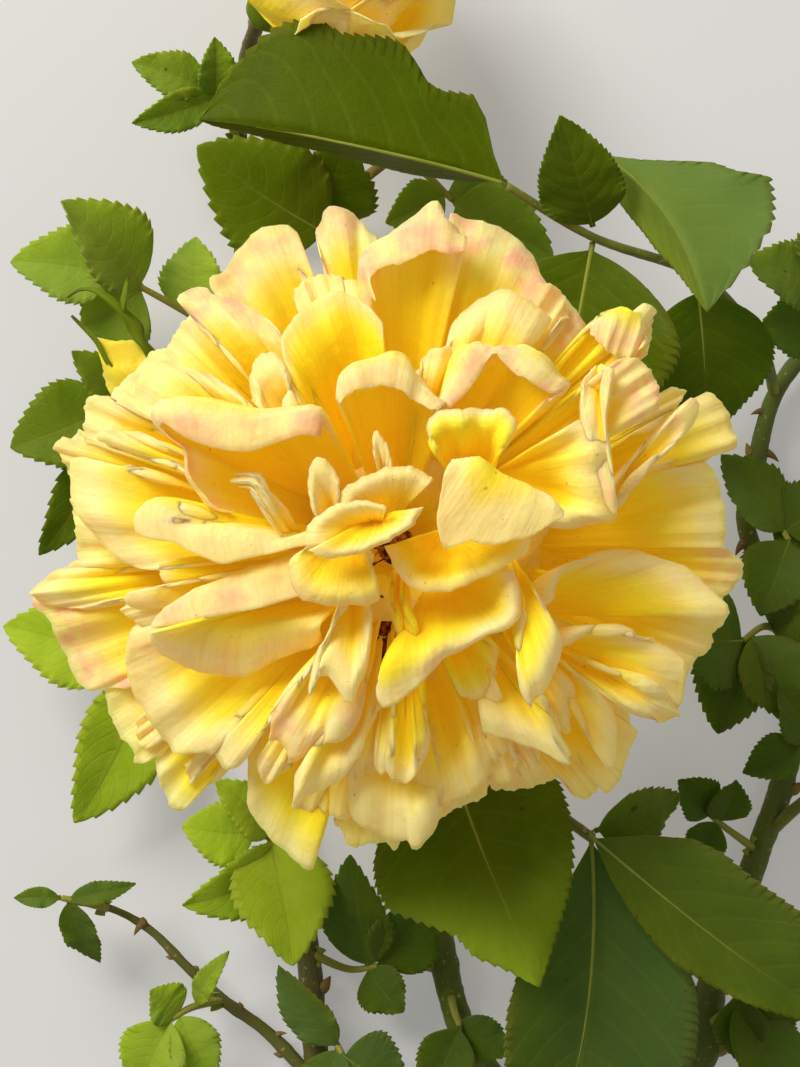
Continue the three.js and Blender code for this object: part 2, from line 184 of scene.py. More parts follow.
@dataclass
class Weave:
    """Gathers thin sheets and tubes into one mesh with texture coordinates and named values.

    A tube's ends are drawn in to LIP of its radius, or to all but BARK_SHARE of it at a clean cut.
    Its tip stands out by DOME of its radius, and its texture repeats every GRAIN_MM of its length.
    """

    values: tuple[str, ...]
    verts: list[np.ndarray] = field(default_factory=list)
    quads: list[np.ndarray] = field(default_factory=list)
    uvs: list[np.ndarray] = field(default_factory=list)
    named: dict[str, list[np.ndarray]] = field(default_factory=dict)
    sharp: list[np.ndarray] = field(default_factory=list)
    count: int = 0
    BARK_SHARE = 0.12
    LIP = 0.35
    DOME = 0.3
    GRAIN_MM = 10
    SKEW = (0.31, 0.17, 0.93)

    def _add(self, verts: np.ndarray, quads: np.ndarray, uvs: np.ndarray, named: dict) -> None:
        """Adds vertices and faces.

        Args:
            verts: places (n, 3) in metres.
            quads: vertex numbers (m, 4), counted from the first of these vertices.
            uvs: a texture coordinate (n, 2) for each vertex.
            named: values by name, one for all or one for each vertex; a missing one is 0.
        """
        self.verts.append(verts)
        self.quads.append(quads + self.count)
        self.uvs.append(uvs)
        for name in self.values:
            value = np.broadcast_to(named.get(name, 0.0), len(verts))
            self.named.setdefault(name, []).append(np.asarray(value, dtype=np.float32))
        self.count += len(verts)

    def sheet(self, grid: np.ndarray, thick: np.ndarray, uv: np.ndarray, **named: np.ndarray | float) -> None:
        """Adds a closed thin sheet.

        Args:
            grid: places (rows, columns, 3) of the sheet's middle, in metres. Its upper face is on
                the side of rows cross columns.
            thick: thickness at each place, in metres.
            uv: texture coordinates (rows, columns, 2).
            named: values (rows, columns) or single numbers; `side` is set here, 0 above, 1 below.
        """
        rows, cols = grid.shape[:2]
        along = np.gradient(grid, axis=0)
        across = np.gradient(grid, axis=1)
        normal = unit(np.cross(along, across))
        half = 0.5 * thick[..., None] * normal
        verts = np.vstack([(grid + half).reshape(-1, 3), (grid - half).reshape(-1, 3)])
        n = rows * cols
        i = np.arange(n).reshape(rows, cols)
        a, b, c, d = i[:-1, :-1].ravel(), i[1:, :-1].ravel(), i[1:, 1:].ravel(), i[:-1, 1:].ravel()
        loop = np.concatenate([i[0, :], i[1:, -1], i[-1, -2::-1], i[-2:0:-1, 0]])
        after = np.roll(loop, -1)
        quads = np.vstack(
            [
                np.stack([a, b, c, d], axis=1),
                np.stack([a + n, d + n, c + n, b + n], axis=1),
                np.stack([loop, after, after + n, loop + n], axis=1),
            ]
        )
        flat = {k: np.tile(np.broadcast_to(v, (rows, cols)).ravel(), 2) for k, v in named.items()}
        flat["side"] = np.repeat([0.0, 1.0], n)
        self._add(verts, quads, np.tile(uv.reshape(-1, 2), (2, 1)), flat)
        self.sharp.append(np.arange(len(quads)) >= 2 * len(a))

    def tube(
        self,
        path: np.ndarray,
        radius: np.ndarray,
        sides: int,
        relief: np.ndarray | None = None,
        cut: bool = False,
        **named: float,
    ) -> None:
        """Adds a closed tube along a path, with rounded-off ends.

        Args:
            path: places (n, 3) in metres.
            radius: the radius at each place, in metres.
            sides: faces round the tube.
            relief: added radius (n, sides), in metres, or None.
            cut: whether its foot is a clean cut face; the value `face` then runs from 0 at the rim
                of that face to 1 at its middle.
            named: single values for the whole tube.
        """
        n = len(path)
        tangent = unit(np.gradient(path, axis=0))
        side = np.zeros_like(tangent)
        across = unit(np.cross(tangent[0], self.SKEW))
        for k in range(n):
            across = unit(across - np.dot(across, tangent[k]) * tangent[k])
            side[k] = across
        other = np.cross(tangent, side)
        turn = np.arange(sides) * 2 * math.pi / sides
        wide = radius[:, None] + (relief if relief is not None else 0.0)
        round_x, round_y = np.cos(turn)[None, :, None], np.sin(turn)[None, :, None]
        ring = side[:, None] * round_x + other[:, None] * round_y
        body = path[:, None] + wide[..., None] * ring
        dome = tangent[-1] * radius[-1] * self.DOME
        foot = path[0] + ring[0] * wide[0][:, None] * (1 - self.BARK_SHARE if cut else self.LIP)
        tip = path[-1] + ring[-1] * wide[-1][:, None] * self.LIP + dome
        rings = np.concatenate([foot[None], body, tip[None]])
        m = len(rings)
        i = np.arange(m * sides).reshape(m, sides)
        j = np.roll(i, -1, axis=1)
        quads = [np.stack([i[:-1].ravel(), j[:-1].ravel(), j[1:].ravel(), i[1:].ravel()], axis=1)]
        centre = m * sides
        for k, (first, last) in enumerate(((j[0], i[0]), (i[-1], j[-1]))):
            quads.append(np.stack([first, last, np.full(sides, centre + k), np.full(sides, -1)], axis=1))
        verts = np.vstack([rings.reshape(-1, 3), path[0], path[-1] + dome])
        run = np.concatenate([[0], np.cumsum(np.linalg.norm(np.diff(path, axis=0), axis=1))])
        run = np.concatenate([[run[0]], run, [run[-1]]])
        repeats = run / (self.GRAIN_MM * MM)
        uv = np.stack(np.broadcast_arrays(0.5 + 0.5 * np.cos(turn)[None], repeats[:, None]), axis=-1)
        uv = np.vstack([uv.reshape(-1, 2), [[0.5, repeats[0]], [0.5, repeats[-1]]]])
        quads = np.vstack(quads)
        quads[quads == -1] = -1 - self.count
        face = np.zeros(len(verts))
        if cut:
            face[:sides] = self.BARK_SHARE
            face[centre] = 1.0
        self._add(verts, quads, uv, dict(named, face=face))
        self.sharp.append(np.zeros(len(quads), dtype=bool))

    def build(self, name: str, material: bpy.types.Material) -> bpy.types.Object:
        """Makes the mesh object, at the origin and smooth but for the sheets' edges.

        Args:
            name: the piece's name.
            material: its finish.

        Returns:
            The new object.
        """
        verts = np.vstack(self.verts)
        quads = np.vstack(self.quads)
        faces = [tuple(int(k) for k in q if k >= 0) for q in quads]
        mesh = bpy.data.meshes.new(name)
        mesh.from_pydata(verts.tolist(), [], faces)
        uv = np.vstack(self.uvs)
        corner = np.empty(len(mesh.loops), dtype=np.int32)
        mesh.loops.foreach_get("vertex_index", corner)
        layer = mesh.uv_layers.new(name="Grain")
        layer.data.foreach_set("uv", uv[corner].astype(np.float32).ravel())
        for key in self.values:
            held = mesh.attributes.new(key, "FLOAT", "POINT")
            held.data.foreach_set("value", np.concatenate(self.named[key]))
        mesh.polygons.foreach_set("use_smooth", ~np.concatenate(self.sharp))
        mesh.materials.append(material)
        piece = bpy.data.objects.new(name, mesh)
        bpy.context.scene.collection.objects.link(piece)
        return piece


def settle(piece: bpy.types.Object, slot: Slot, *nodes: str) -> None:
    """Makes a piece ride on the branch and stand in for CAD nodes, and reports it.

    Args:
        piece: the finished piece.
        slot: its material slot; not used.
        nodes: the CAD nodes that it stands in for; none for a piece that is only added.
    """
    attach(piece, "root")
    if nodes:
        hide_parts(*nodes)
    log.info("%s: %d faces, for %s", piece.name, len(piece.data.polygons), ", ".join(nodes) or "no node")


# ---------------------------------------------------------------- finishes


def linear(hex_colour: str) -> tuple[float, float, float, float]:
    """An sRGB colour such as #F5D765 as linear red, green, blue and alpha."""
    parts = [int(hex_colour[i : i + 2], 16) / 255 for i in (1, 3, 5)]
    return tuple(c / 12.92 if c <= 0.04045 else ((c + 0.055) / 1.055) ** 2.4 for c in parts) + (1.0,)


def add_node(
    tree: bpy.types.NodeTree, kind: str, inputs: dict | None = None, **settings: object
) -> bpy.types.Node:
    """Adds a node with its settings and links.

    Args:
        tree: the node tree.
        kind: the node's type name.
        inputs: socket name or number to a value, or to an output socket to link.
        settings: properties of the node itself.

    Returns:
        The new node.
    """
    made = tree.nodes.new(kind)
    for name, value in settings.items():
        setattr(made, name, value)
    for socket, value in (inputs or {}).items():
        if isinstance(value, Socket):
            tree.links.new(value, made.inputs[socket])
        else:
            made.inputs[socket].default_value = value
    return made


def ramp_node(tree: bpy.types.NodeTree, factor: Socket, stops: Sequence[tuple[float, str]]) -> Socket:
    """Adds a colour ramp.

    Args:
        tree: the node tree.
        factor: what drives the ramp, from 0 to 1.
        stops: places on the ramp and their sRGB colours.

    Returns:
        The ramp's colour.
    """
    made = add_node(tree, "ShaderNodeValToRGB", {"Fac": factor})
    band = made.color_ramp
    while len(band.elements) < len(stops):
        band.elements.new(0.5)
    for element, (at, colour) in zip(band.elements, stops):
        element.position = at
        element.color = linear(colour)
    return made.outputs["Color"]


class Finish:
    """A material whose nodes are built by `dress`, with a few shared steps."""

    name = "finish"

    def material(self) -> bpy.types.Material:
        """Builds the material.

        Returns:
            The material with its nodes.
        """
        made = bpy.data.materials.new(self.name)
        made.use_nodes = True
        self.tree = made.node_tree
        self.shader = self.tree.nodes["Principled BSDF"]
        self.dress()
        return made

    def dress(self) -> None:
        """Adds the nodes of this finish to its tree."""
        raise NotImplementedError

    def value(self, name: str) -> Socket:
        """The output of a named value that the mesh carries."""
        return add_node(self.tree, "ShaderNodeAttribute", attribute_name=name).outputs["Fac"]

    def math(self, operation: str, *terms: Source, clamp: bool = False) -> Socket:
        """The result of a math node on numbers or sockets."""
        settings = {"operation": operation, "use_clamp": clamp}
        return add_node(self.tree, "ShaderNodeMath", dict(enumerate(terms)), **settings).outputs["Value"]

    def mix(self, factor: Source, a: Source, b: Source, blend: str = "MIX") -> Socket:
        """Mixes two colours.

        Args:
            factor: 0 for the first colour, 1 for the second.
            a, b: the colours, as sRGB text or sockets.
            blend: Blender's name for the way of mixing.

        Returns:
            The mixed colour.
        """
        ends = [linear(c) if isinstance(c, str) else c for c in (a, b)]
        inputs = {"Factor": factor, 6: ends[0], 7: ends[1]}
        return add_node(self.tree, "ShaderNodeMix", inputs, data_type="RGBA", blend_type=blend).outputs[2]

    def grain(self, scale: tuple[float, float, float] = (1, 1, 1)) -> Socket:
        """The mesh's own texture coordinates.

        Args:
            scale: how often a pattern repeats across the piece, along it and through it.

        Returns:
            The scaled coordinates.
        """
        uv = add_node(self.tree, "ShaderNodeUVMap", uv_map="Grain").outputs["UV"]
        mapped = add_node(self.tree, "ShaderNodeMapping", {"Vector": uv, "Scale": scale})
        return mapped.outputs["Vector"]

    def place(self, size_mm: float) -> Socket:
        """Object coordinates in steps of a real size.

        Args:
            size_mm: the length of one step, in mm.

        Returns:
            The scaled coordinates.
        """
        at = add_node(self.tree, "ShaderNodeTexCoord").outputs["Object"]
        inputs = {"Vector": at, "Scale": (1 / (size_mm * MM),) * 3}
        return add_node(self.tree, "ShaderNodeMapping", inputs).outputs["Vector"]

    def noise(self, vector: Socket, detail: float) -> Socket:
        """Soft noise between 0 and 1."""
        inputs = {"Vector": vector, "Scale": 1.0, "Detail": detail}
        return add_node(self.tree, "ShaderNodeTexNoise", inputs).outputs["Fac"]

    def window(self, x: Socket, low: float, high: float) -> Socket:
        """A smooth step of x from 0 at low to 1 at high."""
        kind, ends = "ShaderNodeMapRange", {"Value": x, "From Min": low, "From Max": high}
        return add_node(self.tree, kind, ends, interpolation_type="SMOOTHSTEP").outputs["Result"]

    def share(self, amount: float, x: Socket) -> Socket:
        """The stated amount of x."""
        return self.math("MULTIPLY", x, amount)

    def bump(self, height: Socket, depth_mm: float, strength: float) -> None:
        """Gives the shader a bump of the stated depth."""
        inputs = {"Height": height, "Distance": depth_mm * MM, "Strength": strength}
        normal = add_node(self.tree, "ShaderNodeBump", inputs).outputs["Normal"]
        self.tree.links.new(normal, self.shader.inputs["Normal"])

    def emit(self, colour: str, strength: float) -> None:
        """Lets the surface give off a little light of its own."""
        self.shader.inputs["Emission Color"].default_value = linear(colour)
        self.shader.inputs["Emission Strength"].default_value = strength

    def skin(
        self, colour: Socket, roughness: float, gloss: float, glow: float, glow_mm: tuple[float, float, float]
    ) -> None:
        """Sets the look of living tissue.

        Args:
            colour: the base colour.
            roughness: from 0 for glossy to 1 for dull.
            gloss: the shader's specular level.
            glow: how much light passes through the tissue, from 0 to 1.
            glow_mm: how far red, green and blue light pass, in mm.
        """
        self.tree.links.new(colour, self.shader.inputs["Base Color"])
        self.shader.inputs["Roughness"].default_value = roughness
        self.shader.inputs["Specular IOR Level"].default_value = gloss
        self.shader.inputs["Subsurface Weight"].default_value = glow
        self.shader.inputs["Subsurface Radius"].default_value = glow_mm
        self.shader.inputs["Subsurface Scale"].default_value = MM


class Petals(Finish):
    """Rose petal: thin grown tissue with dome-shaped skin cells, which lets light through; a faint emission
    adds painted glow.
    """

    # The domed cells give the eye velvet: soft shading with no highlight. Light passes through the tissue
    # into the folds, and a faint yellow emission is painted glow that stands in for more of that light.
    # The crinkles are about real size; real veins are finer, and drawn as coarse as they show.
    name = "rose_petal_velvet_yellow"
    RUN = ((0.0, "#FFD91C"), (0.4, "#FFDD3C"), (0.75, "#FCDB6C"), (1.0, "#F7E194"))
    CLOUD_MM = 6.0
    BLUSH_MM = 4.0
    SPECK_MM = 1.1
    CRINKLE_MM = 1.8
    CREASE_MM = 0.7
    VEINS = (34, 2.2, 1)

    def dress(self) -> None:
        """Runs from gold at the claw to cream at the rim, with a blush, veins and a few specks, a deeper gold
        near the heart that is partly painted shade, painted light on the paler petals and a faint painted
        glow.
        """
        clouds = self.noise(self.place(self.CLOUD_MM), 2)
        toned = self.math("ADD", self.value("rim"), self.math("MULTIPLY_ADD", clouds, 0.5, -0.25))
        # Painted light: `pale` makes the petals that catch the lamp paler towards their rims; in the side
        # bloom it is a random tone.
        toned = self.math("ADD", toned, self.share(0.4, self.value("pale")), clamp=True)
        face = ramp_node(self.tree, toned, self.RUN)
        # Deeper gold near the heart: partly the petals' own colour, partly painted shade where the bloom is
        # deepest.
        face = self.mix(self.share(0.45, self.value("deep")), face, "#FABA14")
        patches = self.window(self.noise(self.place(self.BLUSH_MM), 3), 0.3, 0.7)
        face = self.mix(self.math("MULTIPLY", self.value("flush"), patches), face, "#F2A48C")
        veins = self.noise(self.grain(self.VEINS), 2)
        face = self.mix(self.share(0.22, self.window(veins, 0.42, 0.75)), face, "#F2C85C", "MULTIPLY")
        speck = self.window(self.noise(self.place(self.SPECK_MM), 1), 0.77, 0.8)
        face = self.mix(self.share(0.5, speck), face, "#A8561C")
        face = self.mix(self.share(0.3, self.value("edge")), face, "#CF9A4E")
        self.skin(face, 0.55, 0.12, 1.0, (1.0, 0.85, 0.35))
        # Painted glow: a faint yellow emission stands in for light shining through the petals.
        self.emit("#FFD02C", 0.08)
        creases = self.share(0.3, self.noise(self.place(self.CREASE_MM), 2))
        crinkle = self.math("ADD", self.noise(self.place(self.CRINKLE_MM), 3), creases)
        self.bump(self.math("ADD", crinkle, self.share(0.6, veins)), 0.5, 0.5)


class BudPetals(Petals):
    """Petal still folded in the bud: the same grown tissue, not yet opened."""

    # Tight petals that have seen no sun give the eye a cooler, greener yellow.
    name = "rose_bud_petal_velvet"
    RUN = ((0.0, "#DCCB28"), (0.5, "#E8D83A"), (1.0, "#F4EA78"))


class LeafBlades(Finish):
    """Rose leaf: a grown blade under a thin coat of wax, with its veins sunk into it."""

    # The wax gives the eye a broad, dull sheen; the back is dull, paler and greyer.
    # The net of small veins is finer in life, and drawn as coarse as it shows.
    name = "rose_leaf_waxy_green"
    PAIRS = 8.0
    CLOUD_MM = 7.0
    NET_MM = 1.3
    SPOT_MM = 2.6

    def dress(self) -> None:
        """Darkens between veins, pales the midrib and the back, and puckers the blade."""
        uv = add_node(self.tree, "ShaderNodeSeparateXYZ", {"Vector": self.grain()}).outputs
        out = self.share(2.0, self.math("ABSOLUTE", self.math("SUBTRACT", uv[0], 0.5)))
        bend = self.share(0.3, self.math("POWER", out, 1.4))
        step = self.math("FRACT", self.share(self.PAIRS, self.math("SUBTRACT", uv[1], bend)))
        reach = self.math("MINIMUM", step, self.math("SUBTRACT", 1.0, step))
        side_vein = self.math("SUBTRACT", 1.0, self.window(reach, 0.02, 0.12))
        midrib = self.math("SUBTRACT", 1.0, self.window(out, 0.015, 0.06))
        cells = {"Vector": self.place(self.NET_MM), "Scale": 1.0}
        net = add_node(self.tree, "ShaderNodeTexVoronoi", cells, feature="DISTANCE_TO_EDGE")
        mesh_line = self.math("SUBTRACT", 1.0, self.window(net.outputs["Distance"], 0.0, 0.16))
        veins = self.math("MAXIMUM", midrib, self.share(0.55, side_vein))
        clouds = self.noise(self.place(self.CLOUD_MM), 3)
        dark = self.mix(clouds, "#3E4C00", "#566400")
        # The fresh green is partly the young leaves' own colour, partly painted light of leaves that light
        # shines through.
        fresh = self.mix(clouds, "#98B010", "#BACA3C")
        blade = self.mix(self.value("fresh"), dark, fresh)
        blade = self.mix(self.share(0.75, self.value("sage")), blade, "#4F6A40")
        blade = self.mix(self.share(0.04, mesh_line), blade, "#74882C")
        blade = self.mix(self.share(0.1, veins), blade, "#8C9C34")
        spot = self.window(self.noise(self.place(self.SPOT_MM), 1), 0.79, 0.81)
        blade = self.mix(self.share(0.6, spot), blade, "#3B2E16")
        back = self.mix(self.share(0.5, veins), "#66803C", "#9AAC66")
        blade = self.mix(self.share(0.8, self.value("side")), blade, back)
        blade = self.mix(self.share(0.35, self.value("edge")), blade, "#7C5B2A")
        self.skin(blade, 0.5, 0.045, 0.4, (0.6, 1.0, 0.1))
        pucker = self.math("MULTIPLY_ADD", veins, -0.8, self.share(-0.25, mesh_line))
        self.bump(pucker, 0.16, 0.4)


class CaneBark(Finish):
    """Rose cane bark: grown green skin that turns to brown cork, with pale wood where it is cut."""

    # Slow growth gives the eye lengthwise streaks and pale corky pores, and almost no gloss.
    name = "rose_cane_bark"
    CLOUD_MM = 5.0
    PORE_MM = 0.9
    STREAKS = (9, 1.3, 1)

    def dress(self) -> None:
        """Mixes green and brown by the cane's age, with streaks, pores and a clean cut face."""
        streak = self.noise(self.grain(self.STREAKS), 4)
        clouds = self.noise(self.place(self.CLOUD_MM), 3)
        green = self.mix(clouds, "#7C8A22", "#9AA636")
        olive = self.mix(clouds, "#4A5816", "#6A7428")
        brown = self.mix(streak, "#40321A", "#75633A")
        age = self.math("ADD", self.value("age"), self.math("MULTIPLY_ADD", clouds, 0.4, -0.2), clamp=True)
        bark = self.mix(self.window(age, 0.05, 0.3), green, olive)
        bark = self.mix(self.window(age, 0.4, 0.95), bark, brown)
        bark = self.mix(self.share(0.7, self.value("ruddy")), bark, "#9A5A3C")
        pore = self.window(self.noise(self.place(self.PORE_MM), 1), 0.66, 0.74)
        bark = self.mix(self.share(0.5, pore), bark, "#B9A877")
        face = self.value("face")
        wood = self.mix(streak, "#B9B27A", "#D6CF9C")
        wood = self.mix(self.window(face, 0.66, 0.74), wood, "#8C7440")
        bark = self.mix(self.window(face, 0.08, 0.13), bark, wood)
        self.skin(bark, 0.6, 0.25, 0.1, (0.5, 0.7, 0.2))
        self.bump(self.math("ADD", streak, self.share(0.6, pore)), 0.3, 0.6)


class SepalSkin(Finish):
    """Sepal and hip: grown green tissue under a coat of short down, brown at the sepal's tip."""

    # The down gives the eye a matt green with fine streaks along the sepal.
    name = "rose_sepal_downy_green"
    STREAKS = (8, 3, 1)

    def dress(self) -> None:
        """Mixes two greens in streaks along the sepal, and browns its tip."""
        streak = self.noise(self.grain(self.STREAKS), 3)
        skin = self.mix(streak, "#4A5C08", "#7E9020")
        skin = self.mix(self.share(0.75, self.value("edge")), skin, "#4A3020")
        self.skin(skin, 0.65, 0.06, 0.3, (0.6, 0.9, 0.1))
        self.bump(streak, 0.2, 0.5)


class DriedStamens(Finish):
    """Dried rose stamens: threads and a disc that shrivelled in the air."""

    # Drying gives the eye a rough surface, mottled from black-brown to amber.
    name = "rose_stamen_dried_brown"
    MOTTLE_MM = 0.8

    def dress(self) -> None:
        """Mottles two browns and roughens them."""
        mottle = self.noise(self.place(self.MOTTLE_MM), 3)
        brown = self.mix(self.window(mottle, 0.35, 0.7), "#4A2208", "#B8741E")
        self.skin(brown, 0.8, 0.1, 0.1, (0.6, 0.4, 0.2))
        self.bump(mottle, 0.2, 0.6)


class FloorPaint(Finish):
    """Studio floor: matt paint, rolled on in a pale warm grey."""

    # Flat paint gives the eye no highlight; a faint glow keeps the shadows on it pale.
    name = "studio_floor_matt_paint"
    CLOUD_MM = 120.0

    def dress(self) -> None:
        """Sets one pale colour with the faintest cloud."""
        clouds = self.noise(self.place(self.CLOUD_MM), 2)
        self.skin(self.mix(clouds, "#ACAAA5", "#B1AFAB"), 0.9, 0.1, 0.0, (1, 1, 1))
        self.emit("#FFFDF8", 0.25)


# ---------------------------------------------------------------- petals


@dataclass
class Petal:
    """One petal, from its claw in the hip to its tip.

    Args:
        tip: where the petal ends, in mm.
        width: its width at the widest, in mm.
        bearing: the way that its blade points, in degrees from +X; None for away from the heart.
        via: places that its middle line runs through before the tip; empty for a plain arch.
        start: where the claw is; None for the hip.
        heart: the middle of the hip's top, which claws stand round.
        cup: how far the blade is dished, in degrees from its middle to its side.
        curl: how far the tip is rolled back, in degrees.
        left, right: how far each side is rolled back, in degrees.
        ruffle: height of the waves at the rim, in mm.
        flush, pale: how pink and how pale the petal is, from 0 to 1; the paleness is partly painted light on
            petals that catch the lamp, partly a random tone.
        bare: how far from the claw the petal starts to widen, as a share of its length.

    BLUNT is how square its end is, POINT how far the tip is drawn out, as a share of its length, and
    CLAW_RISE how far above the heart its claw stands, in mm. FINE is how finely its section is worked out.
    """

    tip: Place
    width: float
    bearing: float | None = None
    via: tuple[Place, ...] = ()
    start: Place | None = None
    heart: Place = BLOOM_HEART
    cup: float = 16
    curl: float = 35
    left: float = 30
    right: float = 30
    ruffle: float = 1.0
    flush: float = 0.25
    pale: float = 0.0
    bare: float = -0.05
    BLUNT = 2.8
    POINT = 0.02
    FINE = 161
    CLAW_RISE = 1.5

    def spine(self) -> np.ndarray:
        """The petal's middle line.

        Returns:
            Places (n, 3) from claw to tip, evenly spaced, in mm.
        """
        tip = np.array(self.tip, dtype=float)
        if self.start is not None:
            return path_through([self.start, *self.via, self.tip])
        heart = np.array(self.heart, dtype=float)
        out = unit(tip[:2] - heart[:2])
        claw = np.array([*(heart[:2] + CLAW_RING_MM * out), heart[2] + self.CLAW_RISE])
        if self.via:
            return path_through([claw, *self.via, self.tip])
        rise = tip[2] - claw[2]
        shoulder = np.array([*(claw[:2] + 0.42 * (tip[:2] - claw[:2])), claw[2] + 0.74 * rise])
        return path_through([claw, shoulder, tip])

    def surface(self, rows: int, cols: int, rng: np.random.Generator) -> Surface:
        """The petal's middle surface.

        Args:
            rows: places from claw to tip.
            cols: places from side to side.
            rng: the petal's own random numbers.

        Returns:
            Places (rows, cols, 3) in mm, how near the rim each is (0 to 1), and its thickness share.
        """
        spine = self.spine()
        bearing = self.bearing
        if bearing is None:
            away = spine[-1, :2] - np.array(self.heart[:2])
            bearing = math.degrees(math.atan2(away[1], away[0]))
        left = np.array([-math.sin(math.radians(bearing)), math.cos(math.radians(bearing)), 0.0])
        spine, normal, side = self._frames(spine, left)

        # The end is rounded, with a small point and an uneven edge.
        u = np.linspace(0, 1, rows)[:, None] ** 0.85
        v = np.linspace(-1, 1, cols)[None, :]
        draw = self.POINT * np.exp(-((v / 0.16) ** 2))
        top = 1 - 0.26 * np.abs(v) ** self.BLUNT + draw
        top = top + 0.03 * waves(v, rng, (1.3, 2.6, 4.1)) * (1 - np.abs(v) ** 4)
        s = np.clip(u * top, 0, 1.04)
        # The blade widens from its narrow claw to its shoulder.
        swell = 0.13 + 0.87 * smooth(s, self.bare, 0.78) ** 0.9
        half = 0.57 * self.width * swell * (1 + 0.05 * waves(s, rng, (1.1, 2.3)))

        fan = smooth(s, 0.1, 0.6)
        wide, rise = self._section(v, fan, half)
        rim = np.maximum(smooth(s, 0.55, 1.0), smooth(np.abs(v), 0.55, 1.0) * smooth(s, 0.25, 0.7))
        # The rim waves, the blade buckles in shallow dents, and fine pleats run along it.
        frill = waves(v + 0 * s, rng, (1.1, 1.9, 3.3)) * smooth(s, 0.5, 1.0)
        frill = frill + waves(s * np.sign(v + 1e-9), rng, (1.7, 3.4)) * smooth(np.abs(v), 0.45, 1.0) * fan
        buckle = waves(s + 0.4 * v, rng, (1.2, 2.1)) * waves(v - 0.3 * s, rng, (0.7, 1.5)) * fan
        pleat = waves(v + 0.05 * s, rng, (5.0, 8.0)) * smooth(s, 0.3, 0.8)
        rise = rise + self.ruffle * (1.1 * frill + 1.0 * buckle) + 0.04 * pleat

        grid = sample(spine, s) + sample(side, s) * wide[..., None] + sample(normal, s) * rise[..., None]
        beside = 0.85 * smooth(np.abs(v), 0.35, 1.0) * smooth(s, 0.2, 0.8)
        return grid, np.maximum(smooth(u + 0 * v, 0.45, 1.0), beside), 1 - 0.6 * rim

    def _section(self, v: np.ndarray, fan: np.ndarray, half: np.ndarray) -> tuple[np.ndarray, np.ndarray]:
        """The cross-section: dished in the middle, with both sides rolled back.

        Args:
            v: -1 at the right side to 1 at the left.
            fan: how far the section has opened from flat, from 0 to 1.
            half: half of the width, in mm.

        Returns:
            How far each place lies to the left of the middle line and how far above it, in mm.
        """
        fine = np.linspace(-1, 1, self.FINE)
        middle = self.FINE // 2
        roll_off = np.where(fine > 0, self.left, self.right) * smooth(np.abs(fine), 0.5, 1.0) ** 1.3
        slope = np.radians(self.cup * fine - np.sign(fine) * roll_off * 1.6)
        slope = (slope[1:] + slope[:-1]) / 2
        out, up = [], []
        for strength in (0.0, 0.5, 1.0):
            for gathered, step in ((out, np.cos(strength * slope)), (up, np.sin(strength * slope))):
                run = np.concatenate([[0], np.cumsum(step)])
                gathered.append(np.interp(v[0], fine, (run - run[middle]) / middle))
        low, high = np.clip(2 * fan, 0, 1), np.clip(2 * fan - 1, 0, 1)
        wide, rise = (c[0] + (c[1] - c[0]) * low + (c[2] - c[1]) * high for c in (out, up))
        return wide * half, rise * half

    def _frames(self, spine: np.ndarray, left: np.ndarray) -> Surface:
        """Rolls the tip back and finds which way the blade faces.

        Args:
            spine: the middle line, in mm; its end is moved.
            left: the way to the petal's left.

        Returns:
            The middle line, its normals and the ways to its left.
        """
        n = len(spine)
        step = np.linalg.norm(np.diff(spine, axis=0), axis=1).mean()
        tangent = unit(np.gradient(spine, axis=0))
        side = unit(left - np.sum(left * tangent, axis=1, keepdims=True) * tangent)
        normal = np.cross(tangent, side)
        back = np.radians(self.curl) * smooth(np.linspace(0, 1, n), 0.74, 1.0)[:, None]
        bent = tangent * np.cos(back) - normal * np.sin(back)
        for k in range(int(0.7 * n), n):
            spine[k] = spine[k - 1] + bent[k] * step
        tangent = unit(np.gradient(spine, axis=0))
        return spine, np.cross(tangent, side), side


@dataclass
class PetalWhorl:
    """A ring of petals that become one piece.

    Args:
        name: the piece's name.
        petals: its petals.
        seed: where its random numbers start.
        rows, cols: how finely each petal is made.
        fit: turns the petals' millimetres into metres in the CAD frame.
        heart: the middle of the bloom, near which petals are painted a deeper gold: partly their own colour,
            partly painted shade of the deep heart.
    """

    name: str
    petals: "Sequence[Petal | RimPetal]"
    seed: int
    rows: int = 24
    cols: int = 37
    fit: Callable[[np.ndarray], np.ndarray] = lay
    heart: Place = BLOOM_HEART

    def build(self, material: bpy.types.Material) -> bpy.types.Object:
        """Makes the whorl's mesh.

        Args:
            material: the petals' finish.

        Returns:
            The new object.
        """
        weave = Weave(PETAL_VALUES)
        for i, petal in enumerate(self.petals):
            rng = np.random.default_rng(self.seed * 1000 + i)
            grid, near, thick = petal.surface(self.rows, self.cols, rng)
            shade = rng.uniform(-0.08, 0.1)
            out = np.linalg.norm((grid - self.heart)[..., :2], axis=-1)
            # Near the heart and away from the rim: partly the petals' own deeper gold, partly painted shade
            # of the deep heart.
            deep = (1 - smooth(out, 3.0, 22.0)) * (1 - 0.75 * near)
            flush = petal.flush * smooth(near, 0.55, 1.0) * rng.uniform(0.7, 1.2)
            edge = smooth(near, 0.94, 1.0) * rng.uniform(0.1, 1.0)
            u = np.linspace(0, 1, self.rows)[:, None]
            v = np.linspace(0, 1, self.cols)[None, :]
            uv = np.stack(np.broadcast_arrays(v + 0.37 * i, u + 0.11 * i), axis=-1)
            weave.sheet(
                self.fit(grid),
                PETAL_THICK_MM * MM * thick,
                uv,
                rim=np.clip(near + shade, 0, 1),
                flush=np.clip(flush, 0, 1),
                pale=petal.pale * near,
                edge=edge,
                deep=deep,
            )
        return weave.build(self.name, material)


